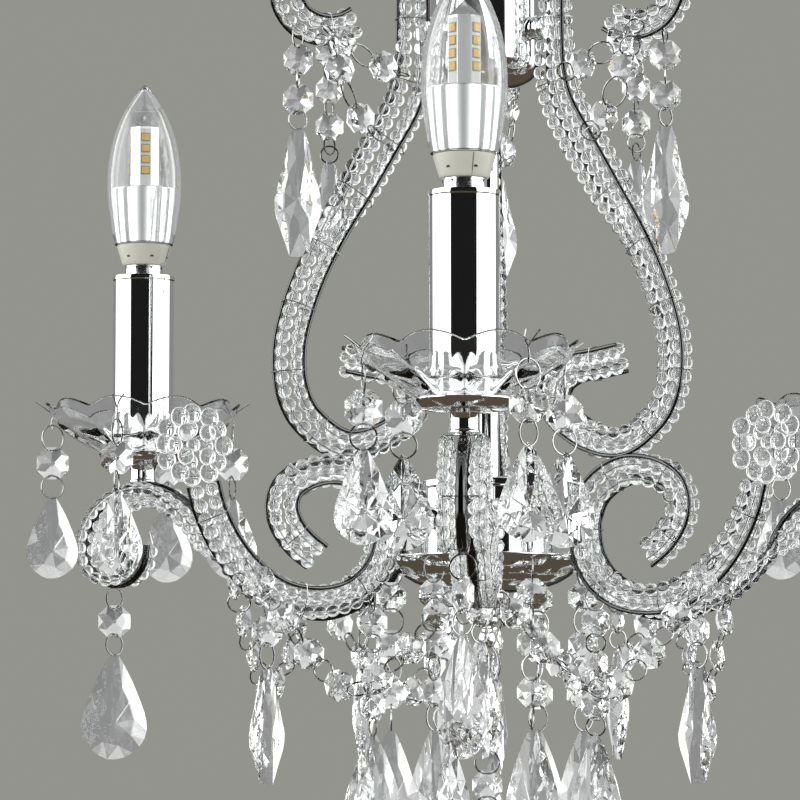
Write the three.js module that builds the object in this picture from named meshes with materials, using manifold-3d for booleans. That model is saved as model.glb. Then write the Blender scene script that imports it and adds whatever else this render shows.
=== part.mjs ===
// A three-light crystal chandelier: a chrome stem with an upper and a lower hub, three candle arms,
// three lyre-shaped cage arms, three scrolls with bead rosettes, a top tier of small curled arms,
// glass drip cups, candle lamps, and strands and swags of cut drops.
// Millimetres, +Z up. The origin is where a hook bears inside the hanging ring at the top.
// The first candle arm points to -Y. Heights are given above a level datum plane, and the whole
// model is lowered by eyeHeight at the end. The lower arms are set out from the plane of the lower
// hub's bosses, and the cage and the top tier from the bosses of the upper hub.
import * as THREE from "three";
import { mergeVertices } from "three/addons/utils/BufferGeometryUtils.js";
import Module from "manifold-3d";

const wasm = await Module();
wasm.setup();

// Driving sizes
const armCount = 3;
const seatGap = 0.3;
const bossGap = 0.5;
const tieGap = 0.4;
const lowerBossHeight = 112.5;
const hubSpacing = 230.5;

// Centre stem, and the hanging ring that screws on to its top
const stemRadius = 6;
const stemBore = 4;
const stemClearance = 0.3;
const ringWire = 2.5;
const ringBore = 11;
const ringNeck = 11.3;
const collarRadius = 8.5;
const collarHeight = 11;
const collarSocket = 5;

// Upper hub and cap
const upperHubRadius = 26.5;
const upperHubDrop = 26;
const upperHubDome = 10;
const upperHubRise = 45;
const hubWall = 1.4;
const capOverhang = 1.5;
const capRise = 12;
const capEdge = 2.1;
const capShoulderRadius = 16.5;
const capNeckRadius = 11;
const bossRadius = 5.5;
const topBossLength = 4.7;
const topBossRise = 34;

// Lower hub, dish and finial
const lowerHubRadius = 32;
const lowerHubWaistCut = 1.2;
const lowerHubRise = 18.5;
const dishClearance = 3.3;
const dishDrop = 17.9;
const dishDepth = 16.6;
const dishWall = 1.3;
const finialTopRadius = 8.6;
const finialHeight = 26;
const finialSocket = 3.7;
const finialEdge = 2;
const terminalLength = 22;
const terminalWidth = 12;
const terminalHeight = 14;

// Candle arms: one tube between two double rows of beads
const candleRadius = 202.8;
const candleRootReach = 18.3;
const candleArmRise = 18.9;
const candleArmDrop = 39.5;
const candleBandWidth = 19;
const candleBandThick = 9.6;

// Scrolls and their rosettes
const scrollRootReach = 22;
const scrollRise = 21.9;
const scrollFall = 40;
const scrollBandWidth = 13;
const scrollBandThick = 9;
const rosetteReach = 150;
const rosetteRise = 8.1;
const rosetteRadius = 18;
const rosetteThick = 11;
const rosettePetals = 8;
const rosetteLean = THREE.MathUtils.degToRad(16);
const rosetteStraight = 12;

// Cage arms
const cageRootReach = 12.1;
const cageTopRise = 19;
const cageBulge = 102;
const cageBandWidth = 13;
const cageBandThick = 9;

// Small curled arms of the top tier, which reach a little past the cage
const topArmOverhang = 2.5;
const topArmRise = 59.5;
const topBandWidth = 12;
const topBandThick = 7;

// Candle fittings, stacked from the arm upwards
const stubRadius = 7;
const stubHeight = 10.5;
const panRadius = 22;
const panDepth = 5;
const panSheet = 2;
const nippleRadius = 4.6;
const nippleClearance = 0.4;
const cupRadius = 48;
const cupHeight = 31;
const cupWall = 3;
const cupBaseRadius = 17.5;
const cupPetals = 12;
const petalDepth = 1.2;
const petalLift = 1.6;
const sleeveRadius = 15.5;
const sleeveWall = 1.2;
const sleeveHeight = 87.4;
const holderClearance = 0.8;
const holderInset = 2;
const holderFloor = 3;

// Candle lamp
const threadRadius = 6.9;
const threadLength = 26;
const threadClearance = 0.5;
const tipRadius = 4.6;
const tipHeight = 2.5;
const skirtRadius = 9.5;
const skirtHeight = 5.1;
const collarBottomRadius = 10.3;
const lampCollarHeight = 10.3;
const heatSinkFootClearance = 0.5;
const heatSinkClearance = 1.2;
const heatSinkHeight = 28.3;
const globeRadius = 18.5;
const globeHeight = 80.6;
const globeWall = 1.1;
const globeTipWall = 3.3;
const ledRadius = 7.5;
const ledHeadroom = 14.8;
const ledTipHeight = 7;

// Cut drops, octagons and the wire links between them
const linkRadius = 0.9;
const linkLength = 6.9;
const octagonSize = 14;
const octagonThick = 7;
const longLink = 11;
const hookLength = 2.2;
const armDropWidth = 33;
const armDropLength = 54;
const armDropThick = 11;
const armOctagonSize = 16;
const topDropWidth = 20;
const topDropLength = 65;
const topDropThick = 10;
const scrollDropWidth = 28;
const scrollDropLength = 50;
const scrollDropThick = 10;
const scrollOctagons = 3;
const centreDropWidth = 30;
const centreDropLength = 54;
const centreDropThick = 28;
const centreOctagons = 3;

// Swags between the candle arms and the scrolls
const swagSag = 50.5;
const swagOctagons = 7;
const swagPower = 1.4;

// Where the strands and swags hang, as shares of the way along the arm that carries them
const armDropShare = 0.482;
const topDropShare = 0.911;
const scrollDropShare = 0.0552;
const swagCandleShare = 0.3062;
const swagScrollShare = 0.7604;

// How finely round and swept pieces are cut
const coarseSides = 12;
const fineSides = 16;
const hubSides = 20;
const bandSides = 6;
const bossSides = 8;
const cageSteps = 34;
const scrollSteps = 34;
const candleSteps = 32;
const topSteps = 16;

// Lower hub and the arms round it
const lowerHubTop = lowerBossHeight + lowerHubRise;
const lowerHubWaist = lowerHubRadius - lowerHubWaistCut;
const candleRoot = lowerHubRadius + candleRootReach;
const candleArmTop = lowerBossHeight + candleArmRise;
const candleArmLow = lowerBossHeight - candleArmDrop;
const scrollBack = lowerHubRadius + scrollRootReach;
const scrollTop = lowerBossHeight + scrollRise;
const scrollLow = lowerBossHeight - scrollFall;
const rosetteHeight = scrollTop + rosetteRise;
const dishRadius = candleRoot - dishClearance;
const dishRim = lowerBossHeight - dishDrop;
const dishBottom = dishRim - dishDepth;
const finialTop = dishBottom - seatGap;
const finialTip = finialTop - finialHeight;

// Upper hub, the cage and the top tier
const cageBossHeight = lowerBossHeight + hubSpacing;
const topBossHeight = cageBossHeight + topBossRise;
const upperHubBottom = cageBossHeight - upperHubDrop;
const upperHubTop = cageBossHeight + upperHubRise;
const capRadius = upperHubRadius + capOverhang;
const capBottom = upperHubTop + seatGap;
const capTop = capBottom + capRise - hubWall;
const cageRoot = upperHubRadius + cageRootReach;
const cageTop = cageBossHeight + cageTopRise;
const cageLow = scrollTop + (scrollBandThick + cageBandThick) / 2 + tieGap;
const topBossReach = upperHubRadius + topBossLength;
const topArmReach = cageBulge + topArmOverhang;

// Stem and hanging ring
const stemHole = stemRadius + stemClearance;
const stemBottom = finialTop - finialSocket;
const collarBottom = capTop + seatGap;
const socketTop = collarBottom + collarSocket;
const stemTop = socketTop - seatGap;
const ringRadius = ringBore + ringWire;
const ringCentre = socketTop + ringNeck + ringRadius;
const eyeHeight = ringCentre + ringBore;

// Candle fittings and lamp, from the arm upwards
const stubBottom = candleArmTop + candleBandThick / 2 + seatGap;
const panBottom = stubBottom + stubHeight;
const panFloor = panBottom + panSheet;
const panRim = panBottom + panDepth;
const cupBottom = panFloor + seatGap;
const cupFloor = cupBottom + cupWall;
const sleeveBottom = cupFloor + seatGap;
const sleeveTop = sleeveBottom + sleeveHeight;
const holderTop = sleeveTop - holderInset;
const holderRadius = sleeveRadius - sleeveWall - holderClearance;
const skirtBottom = sleeveTop + seatGap;
const threadBottom = skirtBottom - threadLength;
const lampCollarBottom = skirtBottom + skirtHeight;
const lampCollarTop = lampCollarBottom + lampCollarHeight;
const heatSinkTop = lampCollarTop + heatSinkHeight;
const globeBottom = lampCollarTop + seatGap;
const ledBottom = heatSinkTop + seatGap;
const ledHeight = globeHeight - heatSinkHeight - ledHeadroom;
const armStep = (2 * Math.PI) / armCount;

// Materials
function material(color, roughness, metalness, opacity) {
  return new THREE.MeshStandardMaterial({
    color,
    roughness,
    metalness,
    opacity: opacity ?? 1,
    transparent: opacity !== undefined,
  });
}
const chrome = material(0xd3d6d8, 0.06, 1);
const beadedChrome = material(0xdfe3e6, 0.12, 0.5);
const cutAcrylic = material(0xf2f6f8, 0.03, 0, 0.45);
const pressedGlass = material(0xf4f7f8, 0.04, 0, 0.4);
const envelopeGlass = material(0xffffff, 0.02, 0, 0.25);
const aluminium = material(0xcfd1d2, 0.16, 1);
const ledYellow = material(0xf0ead8, 0.35, 0);
const holderPlastic = material(0xece8dc, 0.45, 0);
const terminalPlastic = material(0xf1efe8, 0.5, 0);

// A geometry with its shared corners merged and its collapsed triangles dropped.
function closed(geometry) {
  const plain = geometry.index ? geometry.toNonIndexed() : geometry.clone();
  const bare = new THREE.BufferGeometry();
  bare.setAttribute("position", plain.getAttribute("position"));
  const merged = mergeVertices(bare);
  const corners = merged.index.array;
  const kept = [];
  for (let i = 0; i < corners.length; i += 3) {
    const [a, b, c] = [corners[i], corners[i + 1], corners[i + 2]];
    if (a !== b && b !== c && c !== a) kept.push(a, b, c);
  }
  merged.setIndex(kept);
  return merged;
}

function solidOf(geometry) {
  const merged = closed(geometry);
  const vertProperties = new Float32Array(merged.getAttribute("position").array);
  const triVerts = new Uint32Array(merged.index.array);
  return new wasm.Manifold(new wasm.Mesh({ numProp: 3, vertProperties, triVerts }));
}

function geometryOf(solid) {
  const cut = solid.getMesh();
  const geometry = new THREE.BufferGeometry();
  geometry.setAttribute("position", new THREE.BufferAttribute(cut.vertProperties, 3));
  geometry.setIndex(new THREE.BufferAttribute(cut.triVerts, 1));
  return geometry;
}

function joined(first, others) {
  let solid = solidOf(first);
  for (const other of others) solid = solid.add(solidOf(other));
  return geometryOf(solid);
}

// A profile of [radius, height] points turned about the Z axis. A hollow profile ends where it starts.
function turned(profile, sides) {
  const points = profile.map(([radius, height]) => new THREE.Vector2(radius, height));
  return closed(new THREE.LatheGeometry(points, sides).rotateX(Math.PI / 2));
}

// A band that follows a curve in the XZ plane: flat at both sides, with a low ridge along the middle.
function band(points, width, thick, steps) {
  const curve = new THREE.CatmullRomCurve3(
    points.map(([radius, height]) => new THREE.Vector3(radius, 0, height)),
  );
  const section = new THREE.Shape();
  for (let i = 0; i < bandSides; i++) {
    const turn = ((i + 1 / 2) * 2 * Math.PI) / bandSides;
    const across = (Math.cos(turn) / Math.cos(Math.PI / bandSides)) * (width / 2);
    const up = (Math.sin(turn) * thick) / 2;
    if (i === 0) section.moveTo(across, up);
    else section.lineTo(across, up);
  }
  section.closePath();
  return closed(new THREE.ExtrudeGeometry(section, { steps, extrudePath: curve }));
}

// Rings of six corners, one per station, skinned into one closed body.
// A station is { at, across, through, halfWidth, halfThick }.
function loft(stations) {
  const corners = [];
  const faces = [];
  for (const { at, across, through, halfWidth, halfThick } of stations) {
    for (let i = 0; i < bandSides; i++) {
      const turn = (i * 2 * Math.PI) / bandSides;
      const corner = at.clone();
      corner.addScaledVector(across, Math.cos(turn) * halfWidth);
      corner.addScaledVector(through, Math.sin(turn) * halfThick);
      corners.push(corner.x, corner.y, corner.z);
    }
  }
  const last = (stations.length - 1) * bandSides;
  for (let s = 0; s < last; s += bandSides) {
    for (let i = 0; i < bandSides; i++) {
      const next = (i + 1) % bandSides;
      faces.push(s + i, s + next, s + bandSides + next);
      faces.push(s + i, s + bandSides + next, s + bandSides + i);
    }
  }
  for (let i = 1; i < bandSides - 1; i++) {
    faces.push(0, i + 1, i);
    faces.push(last, last + i, last + i + 1);
  }
  const geometry = new THREE.BufferGeometry();
  geometry.setAttribute("position", new THREE.Float32BufferAttribute(corners, 3));
  geometry.setIndex(faces);
  return geometry;
}

// Outlines of the hanging pieces, as [share of the length, share of the width].
const octagonShares = [
  [0, 0],
  [0.5, 1],
  [1, 0],
];
const almondShares = [
  [0, 0.06],
  [0.12, 0.3],
  [0.45, 0.78],
  [0.68, 1],
  [0.88, 0.68],
  [1, 0.1],
];
const pendeloqueShares = [
  [0, 0.1],
  [0.1, 0.42],
  [0.62, 1],
  [0.84, 0.62],
  [1, 0.08],
];
const ballShares = [
  [0, 0.06],
  [0.3, 0.34],
  [0.55, 0.86],
  [0.72, 1],
  [0.9, 0.66],
  [1, 0.1],
];

// A hanging strand, straight down from its local origin. A link is { length, width, thick, shares },
// and one with no shares is plain wire.
function strand(links) {
  const across = new THREE.Vector3(1, 0, 0);
  const through = new THREE.Vector3(0, -1, 0);
  const stations = [];
  let hung = 0;
  const add = (drop, halfWidth, halfThick) =>
    stations.push({ at: new THREE.Vector3(0, 0, -drop), across, through, halfWidth, halfThick });
  add(hung, linkRadius, linkRadius);
  for (const { length, width, thick, shares } of links) {
    for (const [along, wide] of shares ?? []) {
      const halfWidth = Math.max(linkRadius, (wide * width) / 2);
      const halfThick = Math.max(linkRadius, (wide * thick) / 2);
      if (along > 0 || wide > 0) add(hung + along * length, halfWidth, halfThick);
    }
    hung += length;
    if (!shares) add(hung, linkRadius, linkRadius);
  }
  return loft(stations);
}

function wireLink(length) {
  return { length };
}

function octagonLink(size, thick) {
  return { length: size, width: size, thick, shares: octagonShares };
}

// Centre stem, hubs and the parts threaded on the stem
function centreStem() {
  return turned(
    [
      [stemBore, stemBottom],
      [stemRadius, stemBottom],
      [stemRadius, stemTop],
      [stemBore, stemTop],
      [stemBore, stemBottom],
    ],
    coarseSides,
  );
}

// Outline of the ring's collar, as [share of its radius, share of its height]
const ringCollarShares = [
  [1, 0],
  [1, 0.7],
  [0.6, 1],
];
const ringNeckShare = 0.4;

// The ring's inner top is at eyeHeight, and its collar screws down on to the cap.
function hangingRing() {
  const ring = new THREE.TorusGeometry(ringRadius, ringWire, bandSides, hubSides);
  ring.rotateX(Math.PI / 2).translate(0, 0, ringCentre);
  const outline = ringCollarShares.map(([r, up]) => [
    r * collarRadius,
    collarBottom + up * collarHeight,
  ]);
  const collar = turned(
    [
      [0, socketTop],
      [stemHole, socketTop],
      [stemHole, collarBottom],
      ...outline,
      [ringNeckShare * collarRadius, ringCentre - ringRadius],
      [0, ringCentre - ringRadius],
    ],
    coarseSides,
  );
  return joined(ring, [collar]);
}

const capShoulderShare = 0.65;

function topCap() {
  const shoulder = capBottom + capShoulderShare * capRise;
  return turned(
    [
      [capRadius - hubWall, capBottom],
      [capRadius, capBottom],
      [capRadius, capBottom + capEdge],
      [capShoulderRadius, shoulder],
      [capNeckRadius, capTop],
      [stemHole, capTop],
      [stemHole, capTop - hubWall],
      [capNeckRadius - hubWall, capTop - hubWall],
      [capShoulderRadius - hubWall, shoulder - hubWall],
      [capRadius - hubWall, capBottom + hubWall / 2],
      [capRadius - hubWall, capBottom],
    ],
    hubSides,
  );
}

// A round boss that stands out of a hub wall at an azimuth, from inside the wall to reach.
function boss(azimuth, height, wallRadius, reach, radius) {
  const start = wallRadius - hubWall;
  const shape = new THREE.CylinderGeometry(radius, radius, reach - start, bossSides);
  shape.rotateZ(-Math.PI / 2).translate((reach + start) / 2, 0, height);
  return shape.rotateZ(azimuth - Math.PI / 2);
}

const candleTurns = Array.from({ length: armCount }, (_, i) => i * armStep);
const scrollTurns = candleTurns.map((turn) => turn + armStep / 2);
const cageBossReach = cageRoot - cageBandThick / 2 - bossGap;
const scrollBossReach = scrollBack - scrollBandThick / 2 - bossGap;
const candleBossReach = candleRoot - candleBandThick / 2 - bossGap;

// The hub's domed floor, as [share of its radius, share of the dome's height]
const domeShares = [
  [0.4, 0],
  [0.78, 0.3],
  [1, 1],
];

function upperHub() {
  const floor = upperHubBottom + hubWall;
  const insideRadius = upperHubRadius - hubWall;
  const insideDome = upperHubDome - hubWall / 2;
  const outer = domeShares.map(([r, up]) => [
    r * upperHubRadius,
    upperHubBottom + up * upperHubDome,
  ]);
  const inner = domeShares.map(([r, up]) => [r * insideRadius, floor + up * insideDome]).reverse();
  const shell = turned(
    [
      [stemHole, upperHubBottom],
      ...outer,
      [upperHubRadius, upperHubTop],
      [insideRadius, upperHubTop],
      ...inner,
      [stemHole, floor],
      [stemHole, upperHubBottom],
    ],
    hubSides,
  );
  const bosses = [];
  for (const turn of scrollTurns) {
    bosses.push(boss(turn, cageBossHeight, upperHubRadius, cageBossReach, bossRadius));
    bosses.push(boss(turn, topBossHeight, upperHubRadius, topBossReach, bossRadius));
  }
  return joined(shell, bosses);
}

// Inner surface of the dish, as shares of its radius and depth, from the stem outwards.
const dishShares = [
  [0.43, 0.04],
  [0.72, 0.28],
  [0.91, 0.67],
  [1, 1],
];

// Height of the dish's inner surface at a radius.
function dishFloorAt(radius) {
  const share = radius / dishRadius;
  let [lowShare, lowRise] = dishShares[0];
  for (const [highShare, highRise] of dishShares.slice(1)) {
    if (share <= highShare) {
      const mix = (share - lowShare) / (highShare - lowShare);
      return dishBottom + dishWall + (lowRise + mix * (highRise - lowRise)) * dishDepth;
    }
    [lowShare, lowRise] = [highShare, highRise];
  }
  return dishRim;
}

function lowerHub() {
  const bottom = dishFloorAt(lowerHubRadius) + seatGap;
  const middle = (bottom + lowerHubTop) / 2;
  const shell = turned(
    [
      [lowerHubRadius - hubWall, bottom],
      [lowerHubRadius, bottom],
      [lowerHubWaist, middle],
      [lowerHubWaist, lowerBossHeight + bossRadius],
      [lowerHubRadius, lowerHubTop],
      [stemHole, lowerHubTop],
      [stemHole, lowerHubTop - hubWall],
      [lowerHubWaist - hubWall, lowerHubTop - hubWall],
      [lowerHubWaist - hubWall, middle],
      [lowerHubRadius - hubWall, bottom],
    ],
    hubSides,
  );
  const bosses = [];
  for (const turn of scrollTurns)
    bosses.push(boss(turn, lowerBossHeight, lowerHubWaist, scrollBossReach, bossRadius));
  for (const turn of candleTurns)
    bosses.push(boss(turn, lowerBossHeight, lowerHubWaist, candleBossReach, bossRadius));
  return joined(shell, bosses);
}

function hubDish() {
  const outer = dishShares.map(([r, rise]) => [r * dishRadius, dishBottom + rise * dishDepth]);
  const inner = dishShares
    .slice(0, -1)
    .reverse()
    .map(([r, rise]) => [r * dishRadius, dishBottom + dishWall + rise * dishDepth]);
  return turned(
    [
      [stemHole, dishBottom],
      ...outer,
      [dishRadius - dishWall / 2, dishRim + dishWall / 2],
      ...inner,
      [stemHole, dishBottom + dishWall],
      [stemHole, dishBottom],
    ],
    hubSides,
  );
}

// A turned knob that screws on to the stem's lower end and holds the dish up.
// Its outline is in shares of its top radius and of its height.
const finialShares = [
  [0.3, 0.04],
  [0.5, 0.2],
  [0.3, 0.34],
  [0.66, 0.5],
  [0.48, 0.62],
  [0.62, 0.78],
];

function bottomFinial() {
  const socket = stemBottom - seatGap;
  const outline = finialShares.map(([r, up]) => [
    r * finialTopRadius,
    finialTip + up * finialHeight,
  ]);
  return turned(
    [
      [0, finialTip],
      ...outline,
      [finialTopRadius, finialTop - finialEdge],
      [finialTopRadius, finialTop],
      [stemHole, finialTop],
      [stemHole, socket],
      [0, socket],
    ],
    coarseSides,
  );
}

// The block inside the lower hub where the lamp leads meet the supply lead.
function terminalBlock() {
  const block = new THREE.BoxGeometry(terminalLength, terminalWidth, terminalHeight);
  const inside = (stemRadius + lowerHubWaist - hubWall) / 2;
  const under = lowerHubTop - hubWall - seatGap - terminalHeight / 2;
  block.rotateZ(Math.PI / 2).translate(inside, 0, under);
  return block;
}

// Centre lines of the arms, as [share of the reach, share of the rise]
const candlePathShares = [
  [0, 0.79],
  [0, 0.53],
  [0.028, 0.325],
  [0.105, 0.14],
  [0.258, 0],
  [0.372, 0.022],
  [0.49, 0.103],
  [0.608, 0.318],
  [0.706, 0.54],
  [0.805, 0.79],
  [0.916, 0.963],
  [1, 1],
  [1.084, 0.963],
  [1.18, 0.83],
  [1.234, 0.616],
  [1.221, 0.411],
  [1.16, 0.283],
  [1.073, 0.284],
  [1.011, 0.394],
  [0.995, 0.565],
];
const scrollPathShares = [
  [0.354, 0.33],
  [0.448, 0.437],
  [0.516, 0.574],
  [0.537, 0.72],
  [0.49, 0.885],
  [0.385, 0.977],
  [0.24, 1],
  [0.125, 0.93],
  [0.045, 0.8],
  [0.005, 0.65],
  [0, 0.5],
  [0.023, 0.331],
  [0.089, 0.17],
  [0.208, 0.045],
  [0.375, 0],
  [0.552, 0.048],
  [0.708, 0.202],
  [0.828, 0.412],
];
const cagePathShares = [
  [0, 1],
  [0, 0.908],
  [0.005, 0.817],
  [0.07, 0.743],
  [0.243, 0.656],
  [0.464, 0.551],
  [0.7, 0.441],
  [0.89, 0.326],
  [1, 0.21],
  [0.975, 0.115],
  [0.826, 0.042],
  [0.575, 0],
  [0.29, 0.016],
  [0.085, 0.058],
  [-0.01, 0.104],
  [0.015, 0.144],
  [0.145, 0.17],
  [0.37, 0.179],
  [0.575, 0.188],
];
const topPathShares = [
  [0, 0.647],
  [0.07, 0.647],
  [0.18, 0.765],
  [0.322, 0.933],
  [0.514, 1],
  [0.72, 0.933],
  [0.884, 0.748],
  [0.98, 0.496],
  [1, 0.26],
  [0.918, 0.076],
  [0.774, 0],
  [0.623, 0.017],
  [0.514, 0.092],
];

// How far from the axis a share of an arm's reach lies
function reachAt(share, nearRadius, farRadius) {
  return nearRadius + share * (farRadius - nearRadius);
}

function pathFrom(shares, nearRadius, farRadius, low, high) {
  return shares.map(([out, up]) => [reachAt(out, nearRadius, farRadius), reachAt(up, low, high)]);
}

const topStart = topBossReach + seatGap;
const [, topRootShare] = topPathShares[0];
const topArmLow = topBossHeight - topRootShare * topArmRise;
const topArmCrest = topArmLow + topArmRise;
const candlePath = pathFrom(
  candlePathShares,
  candleRoot,
  candleRadius,
  candleArmLow,
  candleArmTop,
);
const scrollPath = pathFrom(scrollPathShares, scrollBack, rosetteReach, scrollLow, scrollTop);
const cagePath = pathFrom(cagePathShares, cageRoot, cageBulge, cageLow, cageTop);
const topPath = pathFrom(topPathShares, topStart, topArmReach, topArmLow, topArmCrest);

function candleArm() {
  return band(candlePath, candleBandWidth, candleBandThick, candleSteps);
}

// The scroll runs from its free upper curl down behind the hub boss and out to the rosette's edge.
function scroll() {
  const back = (distance) => [
    rosetteReach - Math.sin(rosetteLean) * distance,
    rosetteHeight - Math.cos(rosetteLean) * distance,
  ];
  const edge = rosetteRadius + seatGap;
  const path = [...scrollPath, back(edge + rosetteStraight), back(edge)];
  return band(path, scrollBandWidth, scrollBandThick, scrollSteps);
}

function rosette() {
  const outline = new THREE.Shape();
  const pointsPerPetal = 3;
  const petalShare = 0.12;
  const count = rosettePetals * pointsPerPetal;
  for (let i = 0; i < count; i++) {
    const turn = (i * 2 * Math.PI) / count;
    const swell = 1 - petalShare / 2 + (petalShare / 2) * Math.cos(rosettePetals * turn);
    const x = Math.sin(turn) * swell * rosetteRadius;
    const y = -Math.cos(turn) * swell * rosetteRadius;
    if (i === 0) outline.moveTo(x, y);
    else outline.lineTo(x, y);
  }
  outline.closePath();
  const flat = { depth: rosetteThick, bevelEnabled: false };
  const flower = new THREE.ExtrudeGeometry(outline, flat);
  flower.translate(0, 0, -rosetteThick / 2).rotateX(Math.PI / 2);
  return closed(flower);
}

function cageArm() {
  return band(cagePath, cageBandWidth, cageBandThick, cageSteps);
}

function topArm() {
  return band(topPath, topBandWidth, topBandThick, topSteps);
}

// Candle fittings
const panBowlShare = 0.88;

function dripPan() {
  const bowl = panBowlShare * panRadius;
  return turned(
    [
      [0, stubBottom],
      [stubRadius, stubBottom],
      [stubRadius, panBottom - panSheet / 2],
      [bowl, panBottom],
      [panRadius, panRim],
      [panRadius - panSheet / 2, panRim],
      [bowl - panSheet / 2, panFloor],
      [nippleRadius, panFloor],
      [nippleRadius, cupFloor],
      [0, cupFloor],
    ],
    fineSides,
  );
}

// The cup's outline, as shares of its radius and height, from the foot to the rim.
const cupShares = [
  [0.48, 0.16],
  [0.69, 0.36],
  [0.885, 0.65],
  [1, 1],
];
const cupSideShare = 0.7;

function glassCup() {
  const hole = nippleRadius + nippleClearance;
  const side = cupSideShare * cupWall;
  const outer = cupShares.map(([r, up]) => [r * cupRadius, cupBottom + up * cupHeight]);
  const inner = cupShares
    .map(([r, up]) => [r * cupRadius - side, cupBottom + up * cupHeight + side])
    .reverse();
  const cup = turned(
    [
      [hole, cupBottom],
      [cupBaseRadius, cupBottom],
      ...outer,
      ...inner,
      [cupBaseRadius - cupWall / 2, cupFloor],
      [hole, cupFloor],
      [hole, cupBottom],
    ],
    cupPetals * 2,
  );
  // The rim rises and swells at each petal, more the nearer a corner is to the rim.
  const at = cup.getAttribute("position");
  for (let i = 0; i < at.count; i++) {
    const corner = new THREE.Vector3().fromBufferAttribute(at, i);
    const radius = Math.hypot(corner.x, corner.y);
    const flare = Math.max(0, (radius - cupRadius / 2) / (cupRadius / 2)) ** 2;
    const wave = Math.cos(cupPetals * Math.atan2(corner.x, -corner.y));
    const grown = 1 + ((wave - 1) / 2) * flare * (petalDepth / cupRadius);
    at.setXYZ(i, corner.x * grown, corner.y * grown, corner.z + wave * flare * (petalLift / 2));
  }
  return cup;
}

function candleSleeve() {
  return turned(
    [
      [sleeveRadius - sleeveWall, sleeveBottom],
      [sleeveRadius, sleeveBottom],
      [sleeveRadius, sleeveTop],
      [sleeveRadius - sleeveWall, sleeveTop],
      [sleeveRadius - sleeveWall, sleeveBottom],
    ],
    fineSides,
  );
}

const holderFootShare = 0.8;

function lampHolder() {
  const socket = threadBottom - seatGap;
  const bore = threadRadius + threadClearance;
  const foot = holderFootShare * holderRadius;
  return turned(
    [
      [0, sleeveBottom],
      [foot, sleeveBottom],
      [foot, socket - holderFloor],
      [holderRadius, socket],
      [holderRadius, holderTop],
      [bore, holderTop],
      [bore, socket],
      [0, socket],
    ],
    fineSides,
  );
}

// Outline of the pointed envelope, as [share of its radius, share of its height]
const globeShares = [
  [0.79, 0],
  [0.92, 0.17],
  [1, 0.36],
  [0.93, 0.57],
  [0.73, 0.74],
  [0.42, 0.88],
  [0.12, 0.98],
];
const [[globeFootShare]] = globeShares;
const collarTopRadius = globeFootShare * globeRadius;
const heatSinkBottomRadius = collarTopRadius - globeWall - heatSinkFootClearance;
const heatSinkTopRadius = globeRadius - globeWall - heatSinkClearance;

function bulbBody() {
  return turned(
    [
      [0, threadBottom],
      [tipRadius, threadBottom],
      [threadRadius, threadBottom + tipHeight],
      [threadRadius, skirtBottom],
      [skirtRadius, skirtBottom],
      [skirtRadius, lampCollarBottom],
      [collarBottomRadius, lampCollarBottom],
      [collarTopRadius, lampCollarTop],
      [heatSinkBottomRadius, lampCollarTop],
      [heatSinkTopRadius, heatSinkTop],
      [0, heatSinkTop],
    ],
    coarseSides,
  );
}

function bulbGlobe() {
  const outer = globeShares.map(([r, up]) => [r * globeRadius, globeBottom + up * globeHeight]);
  const inner = globeShares
    .slice(0, -1)
    .reverse()
    .map(([r, up]) => [r * globeRadius - globeWall, globeBottom + up * (globeHeight - globeWall)]);
  return turned(
    [
      ...outer,
      [0, globeBottom + globeHeight],
      [0, globeBottom + globeHeight - globeTipWall],
      ...inner,
      outer[0],
    ],
    coarseSides,
  );
}

function bulbLed() {
  return turned(
    [
      [0, ledBottom],
      [ledRadius, ledBottom],
      [ledRadius, ledBottom + ledHeight - ledTipHeight],
      [0, ledBottom + ledHeight],
    ],
    bandSides,
  );
}

// Hanging strands and drops
const armDropLinks = [
  wireLink(linkLength),
  octagonLink(armOctagonSize, octagonThick),
  wireLink(linkLength),
  { length: armDropLength, width: armDropWidth, thick: armDropThick, shares: almondShares },
];
const topDropLinks = [
  wireLink(longLink),
  octagonLink(octagonSize, octagonThick),
  wireLink(linkLength),
  { length: topDropLength, width: topDropWidth, thick: topDropThick, shares: pendeloqueShares },
];
const octagonRun = (count) =>
  Array.from({ length: count }, () => [
    octagonLink(octagonSize, octagonThick),
    wireLink(linkLength + seatGap),
  ]).flat();
const scrollDropLinks = [
  wireLink(hookLength),
  ...octagonRun(scrollOctagons),
  {
    length: scrollDropLength,
    width: scrollDropWidth,
    thick: scrollDropThick,
    shares: almondShares,
  },
];
const centreLinks = [
  wireLink(linkLength * 2),
  ...octagonRun(centreOctagons),
  { length: centreDropLength, width: centreDropWidth, thick: centreDropThick, shares: ballShares },
];

// The lowest height at a radius of a line that lies offset below a band's centre line.
function lowestAt(path, offset, radius) {
  const curve = new THREE.CatmullRomCurve3(path.map(([r, h]) => new THREE.Vector3(r, 0, h)));
  let lowest = Infinity;
  let before = null;
  const samples = 600;
  for (let i = 0; i <= samples; i++) {
    const at = curve.getPoint(i / samples);
    const ahead = curve.getTangent(i / samples);
    const way = ahead.x < 0 ? -1 : 1;
    const edge = [at.x + way * ahead.z * offset, at.z - way * ahead.x * offset];
    if (before && (before[0] - radius) * (edge[0] - radius) <= 0)
      lowest = Math.min(lowest, before[1], edge[1]);
    before = edge;
  }
  return lowest;
}

// Where the top of a hanging wire link lies under a band, with its edges clear of the band.
function hangUnder(path, thick, radius) {
  const edges = [-linkRadius, linkRadius].map((edge) =>
    lowestAt(path, thick / 2, radius + edge),
  );
  return Math.min(...edges) - seatGap;
}

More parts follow.
